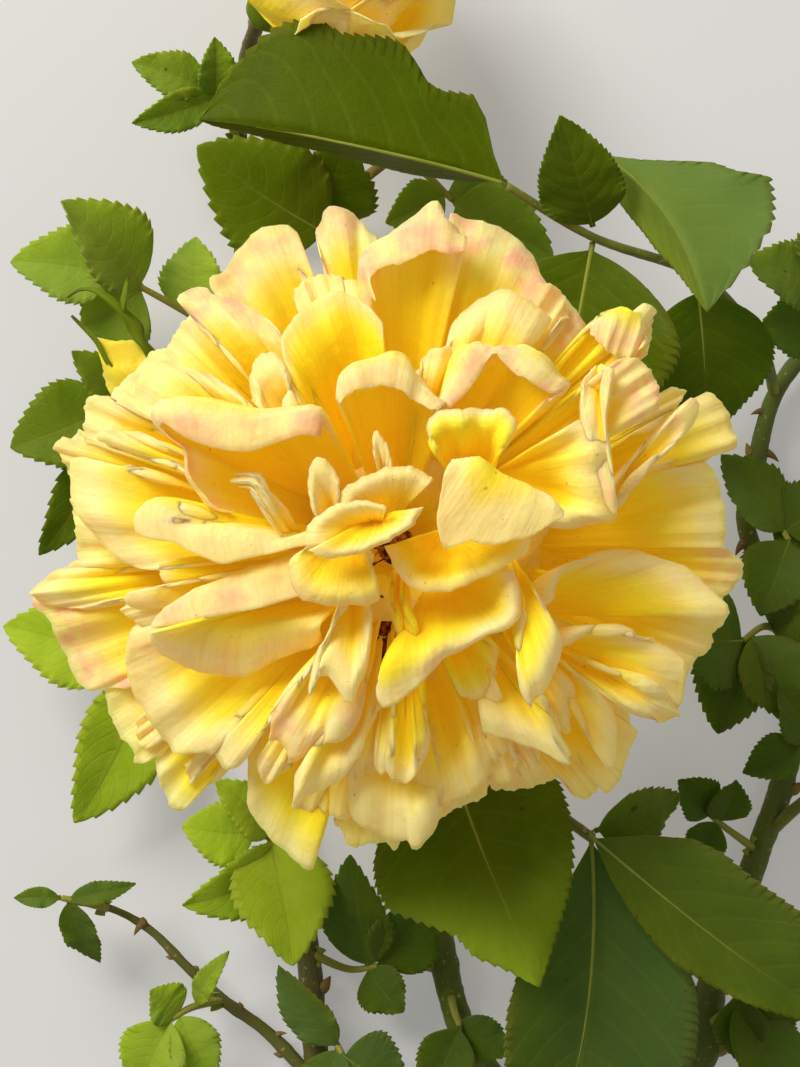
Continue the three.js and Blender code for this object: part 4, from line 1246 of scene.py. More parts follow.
    def stamens(self) -> Weave:
        """The tufts of dried stamens in the heart and in the cleft below it.

        Returns:
            Their mesh, ready to be built.
        """
        weave = Weave(("side",))
        rng = np.random.default_rng(9)
        cleft = Stamens((-1.6, -13.4, 60.0), (2.3, 4.0), threads=30)
        heart = Stamens((-0.6, -1.6, 59.0), (2.4, 2.6), threads=20)
        for tuft in (cleft, heart):
            tuft.weave_into(weave, rng)
        return weave

    def build(self, material: bpy.types.Material, dry: bpy.types.Material) -> None:
        """Makes the stamens and the four pieces of petals.

        Args:
            material: the petals' finish.
            dry: the stamens' finish.
        """
        settle(self.stamens().build("stamens", dry), Slot.PETAL, "open_bloom")
        whorls = (
            PetalWhorl("petals_outer", self.outer, 11),
            PetalWhorl("petals_middle", self.middle, 12),
            PetalWhorl("petals_inner", self.inner, 13),
            PetalWhorl("petals_hidden", self.hidden(), 14, 16, 13),
        )
        for whorl in whorls:
            settle(whorl.build(material), Slot.PETAL, "open_bloom")


@dataclass
class Stamens:
    """A tuft of dried stamens on its domed disc, seen in a cleft of the open bloom.

    Args:
        middle: centre of the disc, in layout millimetres.
        reach: half of the disc's width and of its length, in mm.
        threads: how many stamens there are.
        rise: how far the disc is domed, in mm.
        length: the shortest and the longest stamen, in mm.

    SHAPE is a stamen's radius in mm from its foot to its tip; the last two are its anther.
    """

    middle: Place
    reach: tuple[float, float]
    threads: int
    rise: float = 1.5
    length: tuple[float, float] = (2.0, 5.0)
    CELLS = 15
    THICK_MM = 0.6
    SHAPE = (0.14, 0.12, 0.11, 0.11, 0.3, 0.26)
    SIDES = 6

    def weave_into(self, weave: Weave, rng: np.random.Generator) -> None:
        """Adds the disc, then a thread for each stamen.

        Args:
            weave: the mesh that takes them.
            rng: gives each stamen its place and its bend.
        """
        edge = np.linspace(-1, 1, self.CELLS)
        u, v = np.meshgrid(edge, edge, indexing="ij")
        disc = lay(self._spots(u * np.sqrt(1 - v**2 / 2), v * np.sqrt(1 - u**2 / 2)).reshape(-1, 3))
        thick = np.full(u.shape, self.THICK_MM * MM)
        weave.sheet(disc.reshape(*u.shape, 3), thick, strip_uv(self.CELLS, self.CELLS))
        for _ in range(self.threads):
            self._thread(weave, rng)

    def _spots(self, x: np.ndarray, y: np.ndarray) -> np.ndarray:
        """Places on the disc from two shares of its reach, in layout millimetres."""
        spot = (self.reach[0] * x, self.reach[1] * y, self.rise * (1 - x**2 - y**2))
        return np.stack([middle + part for middle, part in zip(self.middle, spot)], axis=-1)

    def _thread(self, weave: Weave, rng: np.random.Generator) -> None:
        """Adds one bent stamen with its anther.

        Args:
            weave: the mesh that takes it.
            rng: gives its place, way and length.
        """
        bearing = rng.uniform(0, 2 * math.pi)
        out = np.array([math.cos(bearing), math.sin(bearing)])
        foot = self._spots(*(out * math.sqrt(rng.uniform(0, 0.9))))
        way = unit(np.array([*(out + rng.uniform(-0.8, 0.8, 2)), rng.uniform(0.5, 1.4)]))
        run = np.linspace(0, 1, len(self.SHAPE))[:, None]
        droop = np.array([0, 0, -0.35]) * run**2
        path = foot + (run * way + droop) * rng.uniform(*self.length)
        weave.tube(lay(path), np.array(self.SHAPE) * MM, self.SIDES)


# ---------------------------------------------------------------- canes


def ribbon(path: np.ndarray, half: np.ndarray, up: np.ndarray, cup: float, cols: int) -> np.ndarray:
    """A narrow leaf-like surface along a path.

    Args:
        path: places (n, 3) in metres.
        half: half the width at each place, in metres.
        up: the way that its upper face looks.
        cup: how far its sides are lifted, in degrees.
        cols: places from side to side.

    Returns:
        Places (n, cols, 3) in metres.
    """
    tangent = unit(np.gradient(path, axis=0))
    side = unit(np.cross(up, tangent))
    normal = np.cross(tangent, side)
    v = np.linspace(-1, 1, cols)[None, :, None]
    lift = math.radians(cup)
    out = v * half[:, None, None] * math.cos(lift)
    rise = v**2 * half[:, None, None] * math.sin(lift)
    return path[:, None] + side[:, None] * out + normal[:, None] * rise


def strip_uv(rows: int, cols: int) -> np.ndarray:
    """Texture coordinates of a sheet: across it, then along it."""
    return np.stack(np.meshgrid(np.linspace(0, 1, cols), np.linspace(0, 1, rows)), axis=-1)


@dataclass
class Cane:
    """A tapering cane, shoot or leaf stalk along laid-out places.

    Args:
        node: the CAD node that it stands in for.
        path: the places that it runs through, in layout millimetres.
        foot, tip: its radius at either end, in mm.
        age: 0 for fresh green skin, 1 for old brown bark.
        ruddy: how red the skin is, from 0 to 1.
        nodes: distance between its leaf nodes, in mm; 0 for none.
        wane: how soon it grows thin; 1 for evenly.
        cut: whether its foot shows a clean cut.

    EYE is the shape of an eye: shares of its size from its foot to its tip.
    """

    node: str
    path: tuple[Place, ...]
    foot: float
    tip: float
    age: float = 0.2
    ruddy: float = 0.0
    nodes: float = 0.0
    wane: float = 1.0
    cut: bool = False
    SIDES = 16
    STEP_MM = 0.8
    EYE = (0.7, 1.0, 1.05, 0.9, 0.66, 0.38, 0.12)

    def weave_into(self, weave: Weave, rng: np.random.Generator) -> None:
        """Adds the cane and its eyes.

        Args:
            weave: the mesh that takes them.
            rng: gives the nodes' places and the bark's relief.
        """
        rough = lay(path_through(self.path))
        length = np.linalg.norm(np.diff(rough, axis=0), axis=1).sum() / MM
        count = max(12, int(length / self.STEP_MM))
        path = sample(rough, np.linspace(0, 1, count))
        run = np.linspace(0, length, count)
        radius = self.tip + (self.foot - self.tip) * (1 - run / length) ** self.wane
        eyes = self._eyes(length, rng)
        swell = sum((np.exp(-(((run - at) / 1.3) ** 2)) for at in eyes), np.zeros(count))
        radius = radius * (1 + 0.13 * swell) + 0.05 * waves(run / 30, rng, (1.0, 2.3, 4.9)) * radius
        turn = np.arange(self.SIDES) / self.SIDES
        relief = waves(turn[None] + run[:, None] / 90, rng, (2, 3, 5)) * (0.045 * radius[:, None])
        relief = relief + 0.02 * radius[:, None] * rng.standard_normal((count, self.SIDES))
        weave.tube(path, radius * MM, self.SIDES, relief * MM, self.cut, age=self.age, ruddy=self.ruddy)
        for k, at in enumerate(eyes):
            self._eye(weave, path, radius, int(at / length * (count - 1)), k)

    def _eyes(self, length: float, rng: np.random.Generator) -> list[float]:
        """Where the cane bears its leaf nodes.

        Args:
            length: the cane's length, in mm.
            rng: shifts each node a little.

        Returns:
            Distances along the cane, in mm.
        """
        if not self.nodes:
            return []
        places = np.arange(0.6 * self.nodes, length - 3, self.nodes)
        return [float(at + rng.uniform(-0.2, 0.2) * self.nodes) for at in places]

    def _eye(self, weave: Weave, path: np.ndarray, radius: np.ndarray, at: int, turn: int) -> None:
        """Adds the small pointed eye that sits over a leaf node.

        Args:
            weave: the mesh that takes it.
            path: the cane's middle line, in metres.
            radius: the cane's radius at each place, in mm.
            at: which place bears it.
            turn: its number along the cane; eyes stand on alternate sides.
        """
        ahead = unit(path[min(at + 2, len(path) - 1)] - path[max(at - 2, 0)])
        side = unit(np.cross(UPWARDS, ahead)) * (1 if turn % 2 else -1)
        out = unit(side + 0.35 * UPWARDS)
        size = 0.45 * radius[at]
        foot = path[at] + out * radius[at] * 0.7 * MM
        run = np.linspace(0, 1, len(self.EYE))
        line = foot + np.outer(run * 3.2 * size * MM, unit(0.75 * out + ahead))
        weave.tube(line, np.array(self.EYE) * size * MM, 8, age=max(0.0, self.age - 0.3), ruddy=0.7)


@dataclass
class Canes:
    """The wood: old canes, green stems, shoots and the stalks of the two large leaves."""

    old: tuple[Cane, ...] = (
        Cane("main_cane", ((20, -108, 4), (20, -101, 4), (25, -89, 4), (35, -80, 4), (41.5, -74.5, 4),
            (44, -62, 3.8), (49.5, -46.5, 3.6), (54.5, -31.5, 3.4), (55.5, -20.5, 3.3), (52.5, -8.5, 3.2),
            (48.5, 1, 3.1), (50, 10.5, 3), (52.5, 19.5, 3.4), (57.5, 26.5, 5), (63, 34, 8)), 3.7, 1.4,
            age=0.4, nodes=21, wane=1.9, cut=True),
        Cane("left_cane_foot", ((25, -89, 4), (7, -87.5, 3.2), (-7, -83, 2.9), (-11.6, -76, 2.8)), 2.5, 2.1,
            age=0.8),
        Cane("left_cane", ((-11.6, -76, 2.8), (-12.5, -62.5, 2.6), (-13.5, -53.5, 2.5), (-15.5, -40, 2.4),
            (-18, -23.5, 2.3), (-20.5, -3.5, 2.2), (-21.5, 16, 2.1), (-22, 32.5, 2.1), (-22, 46.5, 2.4),
            (-22.5, 56.5, 6), (-21.5, 66.5, 15), (-19.9, 71.6, 24.6)), 2.1, 1.2, age=0.75, nodes=19),
        Cane("left_low_shoot", ((-7, -83, 2.9), (-14, -74.5, 3), (-19, -69.5, 4), (-24.5, -65.5, 6),
            (-30, -60.5, 8), (-35, -55.5, 9), (-40.5, -52.5, 10), (-46, -51.5, 11)), 1.3, 0.5, age=0.6,
            ruddy=0.1, nodes=11),
    )
    green: tuple[Cane, ...] = (
        Cane("bloom_stem", ((25, -89, 4), (15.5, -79.5, 3.2), (9.5, -71, 3), (7, -64, 3), (4.5, -48.5, 3),
            (1.5, -31.5, 4), (0.5, -17.5, 9), (-0.5, -8, 18), (-0.5, -3, 27), (-0.5, -1.5, 32.5)), 2.4, 2.0,
            age=0.25, nodes=24),
        Cane("bud_stem", ((0.5, -17.5, 9), (-10, -6, 15), (-22.5, 7.5, 25), (-31.6, 17.6, 37.4)), 1.3, 1),
        Cane("right_shoot", ((51, -42.5, 3.5), (56, -38, 8), (63, -33, 14), (68, -28, 18)), 1.1, 0.7,
            ruddy=0.1),
        Cane("top_shoot", ((-22, 38.5, 2.2), (-14, 44.5, 7), (-7.5, 48, 11), (0, 53.5, 15)), 1.2, 0.8,
            ruddy=0.6),
        Cane("upper_leaf_stalk", ((52.5, 19.5, 3.4), (50.5, 26, 15), (42, 36, 30), (27, 41.5, 38),
            (15, 48.6, 43.5)), 1.0, 0.6, ruddy=0.1),
        Cane("lower_leaf_stalk", ((1.5, -31.5, 4), (3, -30.5, 16), (5.5, -30.5, 29), (16, -35, 36),
            (27, -42.7, 38.5)), 1.2, 0.8, ruddy=0.2),
    )

    SEED = 70

    def build(self, bark: bpy.types.Material) -> list[bpy.types.Object]:
        """Makes the old wood and the green wood.

        Args:
            bark: their finish.

        Returns:
            The two pieces.
        """
        made = []
        for name, slot, canes in (
            ("wood_old", Slot.OLD_CANE, self.old),
            ("wood_green", Slot.GREEN_CANE, self.green),
        ):
            weave = Weave(("age", "ruddy", "side", "face"))
            for k, cane in enumerate(canes):
                cane.weave_into(weave, np.random.default_rng(self.SEED + k))
            piece = weave.build(name, bark)
            settle(piece, slot, *(cane.node for cane in canes))
            made.append(piece)
        return made


@dataclass
class Prickles:
    """Hooked prickles spread over the wood by Geometry Nodes.

    Args:
        spacing_mm: the least distance between two of them.
        length_mm: the longest prickle.
        smallest: the shortest one, as a share of the longest.
        seed: where their random numbers start.

    DENSITY is how many places are tried on each square metre of bark.
    """

    spacing_mm: float = 7.0
    length_mm: float = 3.4
    smallest: float = 0.35
    seed: int = 4
    SIDES = 7
    DENSITY = 30000.0

    def shape(self, material: bpy.types.Material) -> bpy.types.Object:
        """One prickle: a broad-footed cone that hooks towards the foot of the cane (-Y).

        Args:
            material: its finish.

        Returns:
            The prickle, standing on the origin.
        """
        weave = Weave(("age", "ruddy", "side"))
        t = np.linspace(0, 1, 6)
        line = np.stack([0 * t, -0.55 * t**1.8, t - 0.12], axis=1) * self.length_mm * MM
        weave.tube(line, (0.34 * (1 - t) ** 0.8 + 0.02) * self.length_mm * MM, self.SIDES, age=0.5, ruddy=0.6)
        return weave.build("prickle", material)

    def group(self, material: bpy.types.Material) -> bpy.types.NodeTree:
        """The node group: seeded points on the wood, a hooked prickle on each, made real.

        Args:
            material: the prickles' finish.

        Returns:
            The group, with its sizes as named inputs.
        """
        tree = bpy.data.node_groups.new("scatter_prickles", "GeometryNodeTree")
        for name, kind in (
            ("Wood", "NodeSocketGeometry"),
            ("Prickle", "NodeSocketObject"),
            ("Spacing", "NodeSocketFloat"),
            ("Smallest", "NodeSocketFloat"),
            ("Seed", "NodeSocketInt"),
        ):
            tree.interface.new_socket(name, in_out="INPUT", socket_type=kind)
        tree.interface.new_socket("Prickles", in_out="OUTPUT", socket_type="NodeSocketGeometry")
        given = add_node(tree, "NodeGroupInput").outputs
        spread = add_node(
            tree,
            "GeometryNodeDistributePointsOnFaces",
            {
                "Mesh": given["Wood"],
                "Distance Min": given["Spacing"],
                "Density Max": self.DENSITY,
                "Seed": given["Seed"],
            },
            distribute_method="POISSON",
        )
        normal = {"Vector": spread.outputs["Normal"]}
        upright = add_node(tree, "FunctionNodeAlignRotationToVector", normal, axis="Z")
        hooked = add_node(
            tree,
            "FunctionNodeAlignRotationToVector",
            {"Rotation": upright.outputs["Rotation"], "Vector": (0.0, 1.0, 0.0)},
            axis="Y",
            pivot_axis="Z",
        )
        ends = {2: given["Smallest"], 3: 1.0, "Seed": given["Seed"]}
        size = add_node(tree, "FunctionNodeRandomValue", ends, data_type="FLOAT")
        one = add_node(tree, "GeometryNodeObjectInfo", {"Object": given["Prickle"]})
        placed = add_node(
            tree,
            "GeometryNodeInstanceOnPoints",
            {
                "Points": spread.outputs["Points"],
                "Instance": one.outputs["Geometry"],
                "Rotation": hooked.outputs["Rotation"],
                "Scale": size.outputs[1],
            },
        )
        real = add_node(tree, "GeometryNodeRealizeInstances", {"Geometry": placed.outputs["Instances"]})
        finish = {"Geometry": real.outputs["Geometry"], "Material": material}
        dressed = add_node(tree, "GeometryNodeSetMaterial", finish)
        add_node(tree, "NodeGroupOutput", {"Prickles": dressed.outputs["Geometry"]})
        return tree

    def build(self, wood: bpy.types.Object, bark: bpy.types.Material) -> None:
        """Scatters prickles on one piece of wood and keeps the result as a plain mesh.

        Args:
            wood: the piece that bears them.
            bark: their finish.
        """
        prickle = self.shape(bark)
        tree = self.group(bark)
        host = bpy.data.objects.new("prickle_host", wood.data)
        bpy.context.scene.collection.objects.link(host)
        scatter = host.modifiers.new("scatter", "NODES")
        scatter.node_group = tree
        sockets = {item.name: item.identifier for item in tree.interface.items_tree if item.in_out == "INPUT"}
        scatter[sockets["Prickle"]] = prickle
        scatter[sockets["Spacing"]] = self.spacing_mm * MM
        scatter[sockets["Smallest"]] = self.smallest
        scatter[sockets["Seed"]] = self.seed
        graph = bpy.context.evaluated_depsgraph_get()
        mesh = bpy.data.meshes.new_from_object(host.evaluated_get(graph))
        piece = bpy.data.objects.new("prickles", mesh)
        bpy.context.scene.collection.objects.link(piece)
        for spare in (host, prickle):
            bpy.data.objects.remove(spare)
        settle(piece, Slot.OLD_CANE)


# ---------------------------------------------------------------- leaves


@dataclass
class Leaflet:
    """One toothed leaflet.

    Args:
        node: the CAD node that it stands in for, alone or as part of a compound leaf.
        base, tip: the ends of its midrib, in layout millimetres.
        width: its width at the widest, in mm.
        roll: how far its left half is lifted, in degrees.
        fold: how far both halves are lifted, in degrees.
        arch, bow: how far its midrib rises, and bends to the left, as shares of its length.
        teeth: teeth along each side.
        fresh, sage: how bright and how blue its green is, from 0 to 1; the bright green is partly young
            growth and partly painted light, for leaves that light shines through.
        ripple: height of the waves along its sides, in mm.
        left, right: half widths in layout mm at places evenly spread from base to tip; empty for
            an even oval of the stated width.
        glow: painted light: how much brighter the blade is painted towards its tip and right side.
        petiole: length of its own little stalk, in mm.

    PAIRS is how many side veins it has on each side, as its finish has.
    """

    node: str
    base: Place
    tip: Place
    width: float
    roll: float = 0
    fold: float = 12
    arch: float = 0.08
    bow: float = 0
    teeth: int = 22
    fresh: float = 0.0
    sage: float = 0.3
    ripple: float = 0.5
    left: tuple[float, ...] = ()
    right: tuple[float, ...] = ()
    glow: float = 0.0
    petiole: float = 0.0
    THICK_MM = 0.32
    PER_TOOTH = 4
    PAIRS = 8

    def weave_into(self, weave: Weave, stems: Weave, cols: int, rng: np.random.Generator) -> None:
        """Adds the blade to one mesh and its midrib to another.

        Args:
            weave: the mesh that takes the blade.
            stems: the mesh that takes the midrib and the little stalk.
            cols: places from side to side.
            rng: gives its ripples, tone and browned edge.
        """
        base, tip = lay(np.array(self.base)) / MM, lay(np.array(self.tip)) / MM
        length = np.linalg.norm(tip - base)
        ahead = unit(tip - base)
        side = unit(np.cross(UPWARDS, ahead))
        up = np.cross(ahead, side)
        turn = math.radians(self.roll)
        side, up = side * math.cos(turn) + up * math.sin(turn), up * math.cos(turn) - side * math.sin(turn)

        # Saw teeth point to the tip: each rises slowly and drops at once.
        rows = self.PER_TOOTH * self.teeth + 1
        along = np.linspace(0, 1, rows)[:, None]
        v = np.linspace(-1, 1, cols)[None, :]
        far = np.abs(v)
        phase = (along * self.teeth) % 1.0
        tooth = np.where(phase < 0.79, phase / 0.8, (1 - phase) / 0.2) * (phase > 1e-9)
        tooth = tooth * smooth(along, 0.08, 0.2) * (1 - smooth(along, 0.93, 1.0))
        # Each half is an oval, or follows the half widths that are given.
        blade = np.clip((along - 0.04) / 0.96, 0, 1)
        half = np.sin(np.pi * blade**0.8) ** 0.8 * (1 - 0.25 * blade) * 1.12
        half = 0.5 * self.width * half * (1 + 0.03 * waves(along, rng, (1.5, 2.7)))
        half = np.maximum(half, 0.35 * (1 - along) + 0.12) + 0 * v
        for profile, on_side in ((self.left, v > 0), (self.right, v <= 0)):
            if profile:
                shaped = np.interp(along, np.linspace(0, 1, len(profile)), profile)
                half = np.where(on_side, shaped * sight_spread(self.base[2]), half)
        half = half * (1 + 1.1 / self.teeth * (tooth - 0.45) * far**5)
        lean = along + 0.35 / self.teeth * tooth * far**5
        # The blade arches, ripples at its sides, swells between the side veins and twists a little.
        hump = 4 * lean * (1 - lean)
        lift = math.radians(self.fold)
        x = v * half * math.cos(lift) + self.bow * length * hump
        z = half * math.sin(lift) * (1.25 * far - 0.25 * far**2) + self.arch * length * hump
        swing = waves(along + 0.37 * np.sign(v), rng, (1.6, 2.9, 4.3))
        z = z + self.ripple * far**1.6 * swing * smooth(along, 0.05, 0.3)
        quilt = np.abs(np.sin(np.pi * self.PAIRS * (along - 0.3 * far**1.4))) - 0.6
        z = z + 0.16 * quilt * (4 * far * (1 - far)) ** 0.7 * smooth(along, 0.03, 0.2)
        twist = 0.12 * waves(along, rng, (0.6,)) * along
        x, z = x * np.cos(twist) - z * np.sin(twist), x * np.sin(twist) + z * np.cos(twist)
        grid = base + ahead * (lean * length)[..., None] + side * x[..., None] + up * z[..., None]
        thick = self.THICK_MM * (1 - 0.45 * far) + 0 * along
        edge = (far**8 * rng.uniform(0.2, 1.0)) * np.ones_like(along)
        tone = rng.uniform(-0.12, 0.12)
        # Painted light: `glow` brightens the fresh green towards the tip and the right side.
        weave.sheet(
            grid * MM,
            thick * MM,
            strip_uv(rows, cols),
            fresh=np.clip(self.fresh + tone + self.glow * smooth(along, 0.25, 0.95) * (0.6 - 0.4 * v), 0, 1),
            sage=np.clip(self.sage * (1 + 1.5 * tone) * (0.75 + 0.4 * v), 0, 1) + 0 * along,
            edge=edge,
        )
        rib = grid[:, cols // 2][: int(0.82 * rows) : 2] - up * 0.06
        if self.petiole:
            rib = np.concatenate([[base - ahead * self.petiole], rib])
        radius = np.linspace(0.5, 0.14, len(rib)) * 0.022 * self.width * MM + 0.12 * MM
        stems.tube(rib * MM, radius, 6, age=0.0, ruddy=0.1)


@dataclass
class CompoundLeaf:
    """A compound leaf: a stalk with stipules, an end leaflet and pairs of side leaflets.

    Args:
        node: the CAD node that it stands in for.
        stalk: the places that the stalk runs through.
        tips: the tip of each leaflet and its width, the end leaflet first.
        fresh, sage: how bright and how blue its green is, from 0 to 1; the bright green is partly young
            growth and partly painted light, for leaves that light shines through.

    ROLLS are the ways that its leaflets are turned, in degrees.
    """

    node: str
    stalk: tuple[Place, ...]
    tips: tuple[tuple[float, float, float, float], ...]
    fresh: float = 0.0
    sage: float = 0.35
    ROLLS = (8, 24, -20, -16, 18)

    def weave_into(self, weave: Weave, stems: Weave, rng: np.random.Generator) -> None:
        """Adds the leaflets to one mesh, and the stalk and stipules to another.

        Args:
            weave: the mesh that takes the leaflets.
            stems: the mesh that takes the stalk and its stipules.
            rng: turns and bends each leaflet a little.
        """
        path = path_through(self.stalk)
        stalk = lay(path[::6])
        stems.tube(stalk, np.linspace(0.8, 0.5, len(stalk)) * MM, 8, age=0.0, ruddy=0.35)
        for i, (x, y, z, width) in enumerate(self.tips):
            station = 1.0 if i == 0 else 0.86 - 0.36 * ((i - 1) // 2)
            at = sample(path, np.array(station))
            Leaflet(
                self.node,
                tuple(at),
                (x, y, z),
                width,
                roll=self.ROLLS[i % len(self.ROLLS)] + rng.uniform(-6, 6),
                fold=rng.uniform(6, 22),
                arch=rng.uniform(0.03, 0.11),
                bow=rng.uniform(-0.04, 0.04),
                teeth=13,
                fresh=self.fresh,
                sage=self.sage,
                ripple=0.4,
            ).weave_into(weave, stems, 11, rng)
        for way in (-1, 1):
            self._stipule(stems, path, way)

    def _stipule(self, stems: Weave, path: np.ndarray, way: int) -> None:
        """Adds one of the two narrow wings at the foot of the stalk.

        Args:
            stems: the mesh that takes it.
            path: the stalk's middle line, in layout millimetres.
            way: 1 for the left wing, -1 for the right.
        """
        wing = lay(path[: len(path) // 4 : 4])
        ahead = unit(wing[-1] - wing[0])
        side = unit(np.cross(UPWARDS, ahead)) * way
        share = np.linspace(0, 1, len(wing))
        line = wing + side * (0.6 + 0.9 * share**2)[:, None] * MM
        half = (0.75 * (1 - share**4) + 0.08) * MM
        grid = ribbon(line, half, UPWARDS, cup=20, cols=5)
        shape = grid.shape[:2]
        stems.sheet(grid, np.full(shape, 0.2 * MM), strip_uv(*shape), age=0.0, ruddy=0.1)


@dataclass
class Foliage:
    """All the leaves: two large compound leaves near the bloom, and the smaller ones on the canes.

    Args:
        large: the leaflets of the two large leaves, each a CAD node of its own.
        dark, bright: the smaller leaves, with a CAD node for each whole leaf.
    """

    large: tuple[Leaflet, ...] = (
        Leaflet("upper_leaf_end", (14.5, 49, 44), (-28, 58, 46), 22, -42, -44, 0.03, bow=-0.045, teeth=30,
            sage=0.0, ripple=0.4, right=(0.3, 3.6, 8.3, 10.8, 10.4, 10.1, 10.8, 13.2, 15.2, 15.7, 15.5,
            15.2, 14.8, 15.6, 16.2, 15.8, 14.8, 12.7, 9.6, 5.8, 0.1)),
        Leaflet("upper_leaf_inner_left", (27, 43, 39), (22.5, 58.5, 50), 13, -8, 8, sage=0.1),
        Leaflet("upper_leaf_outer_left", (26.9, 53.5, 37), (43, 31, 50), 12, 28, -30, 0.05, bow=0.12,
            teeth=24, sage=0.65, fresh=0.2, left=(0.3, 0.9, 2.9, 6, 9.6, 11.5, 15, 13.9, 12.6, 7.6, 0.1)),
        Leaflet("upper_leaf_inner_right", (27, 40.8, 36.9), (22, 10, 26), 32, 10, 10, teeth=28, sage=0.05),
        Leaflet("upper_leaf_outer_right", (41.5, 34.5, 29), (42.5, 13, 22), 22, -12, 8, teeth=26,
            sage=0.05),
        Leaflet("lower_leaf_left", (7, -31.8, 32.6), (19.5, -63.5, 45), 30, 4, 8, 0.1, teeth=30, fresh=0.12,
            sage=0.0, glow=0.5, left=(0.3, 8, 12.5, 13.6, 13.4, 12.6, 11.2, 9, 6, 3, 0.1), right=(0.3, 8,
            12.8, 14.6, 15.4, 15.0, 11.4, 7.8, 6.7, 3.0, 0.1)),
        Leaflet("lower_leaf_right", (27.4, -42.9, 39.3), (63, -70, 34), 23, 10, 6, 0.06, teeth=30,
            sage=0.25, petiole=1.4, left=(0.3, 5.4, 9.3, 10.6, 10.4, 10.5, 10.6, 9.8, 8.4, 5.4, 0.1),
            right=(0.3, 2.8, 4.6, 5.8, 6.4, 6.0, 5.4, 4.4, 3.0, 1.6, 0.1)),
        Leaflet("lower_leaf_end", (26.8, -43.6, 37.6), (21, -87, 26), 31, -4, 8, 0.04, bow=0.043, teeth=34,
            sage=0.6, petiole=1.2, left=(0.3, 5, 9.8, 13.5, 15, 15.8, 16.2, 15.5, 12.5, 7.5, 0.1),
            right=(0.3, 3.4, 6.5, 9, 11, 11.9, 11.6, 10.6, 8.6, 5, 0.1)),
        Leaflet("lower_leaf_small", (27.2, -41.6, 37.4), (39, -36.5, 28), 10, 20, 12, teeth=12, sage=0.1,
            petiole=1.6),
    )
    dark: tuple[CompoundLeaf, ...] = (
        CompoundLeaf("left_upper_spray", ((-21.5, 25.5, 2.1), (-30, 31, 13), (-39, 36, 19)),
            ((-54.5, 38, 21, 13), (-47.5, 46.5, 28, 15), (-44.5, 29, 17, 15), (-28.5, 41.5, 15, 12)), 0.7,
            0.5),
        CompoundLeaf("left_middle_spray", ((-20.5, 4.5, 2.2), (-33, 12, 10), (-40, 18, 15)),
            ((-54.5, 12, 17, 15), (-46, 25.5, 20, 10), (-50.5, -3, 9, 11)), 0.15, 0.1),
        CompoundLeaf("left_twig_spray", ((-41, -52.4, 10), (-43.5, -51.8, 13), (-47.5, -51, 14)),
            ((-54, -51, 14, 3.6), (-42, -60, 8, 6.5), (-37, -49, 14, 4))),
        CompoundLeaf("foot_spray", ((-12.4, -65.5, 2.6), (-10, -69.5, 7), (-8, -73, 10)),
            ((1, -77.5, 12, 15), (-10, -84, 8, 12), (-17, -60.5, 11, 9)), 0.0, 0.6),
        CompoundLeaf("middle_low_spray", ((-13, -58.5, 2.6), (-7, -61, 7), (-3, -60.5, 10)),
            ((4.5, -51.5, 13, 13), (0.5, -67, 11, 10), (-7, -45, 15, 12))),
        CompoundLeaf("centre_low_spray", ((7, -64, 3), (7.6, -66.8, 8), (8.4, -69, 11.5)),
            ((4.4, -78.5, 10, 10), (15.5, -72.8, 11.5, 9))),
        CompoundLeaf("top_inner_spray", ((-22, 49, 2.7), (-17, 46, 14), (-10, 41.8, 20)),
            ((-28.4, 54.2, 29, 20), (-8, 55, 24, 16)), 0.0, 0.0),
        CompoundLeaf("right_top_spray", ((57.5, 26.5, 5), (58.5, 31, 13), (58.5, 35.5, 17)),
            ((63, 46, 20, 14), (48.5, 38.5, 22, 12), (68, 33, 18, 13), (50, 28.5, 15, 11)), 0.15),
        CompoundLeaf("right_middle_spray", ((48.5, 4.5, 3), (52.5, 2, 9), (54.5, -1, 13)),
            ((50.5, -11.5, 15, 13), (45, 11, 12, 12), (62, 5, 13, 12), (66, -9, 12, 13))),
        CompoundLeaf("right_lower_spray", ((54.8, -15, 3.2), (51, -13, 11), (48, -15, 15)),
            ((39, -15, 19, 16), (44.5, -28, 14, 14), (56, -27, 17, 13), (58, -10, 18, 10))),
        CompoundLeaf("right_shoot_spray", ((62.8, -33.1, 13.8), (60, -29.5, 17), (56, -29.5, 19)),
            ((48, -33.5, 20, 8), (53, -22, 20, 9))),
        CompoundLeaf("right_tip_spray", ((66.5, -29.6, 16.8), (69, -27, 19), (70.5, -24, 20)),
            ((74, -12, 20, 13), (80, -26, 20, 12), (63, -17.5, 22, 11))),
        CompoundLeaf("low_right_spray", ((50.2, -44.5, 3.6), (46, -41.5, 9), (43.5, -39.5, 12)),
            ((39, -34.5, 14, 8), (47, -34.5, 14, 8), (40, -46, 10, 8))),
        CompoundLeaf("bottom_right_spray", ((42.6, -69, 4), (45.5, -67, 9), (47.5, -64.5, 11)),
            ((48, -74, 9, 9), (58, -62, 11, 13), (54, -82, 12, 13))),
    )
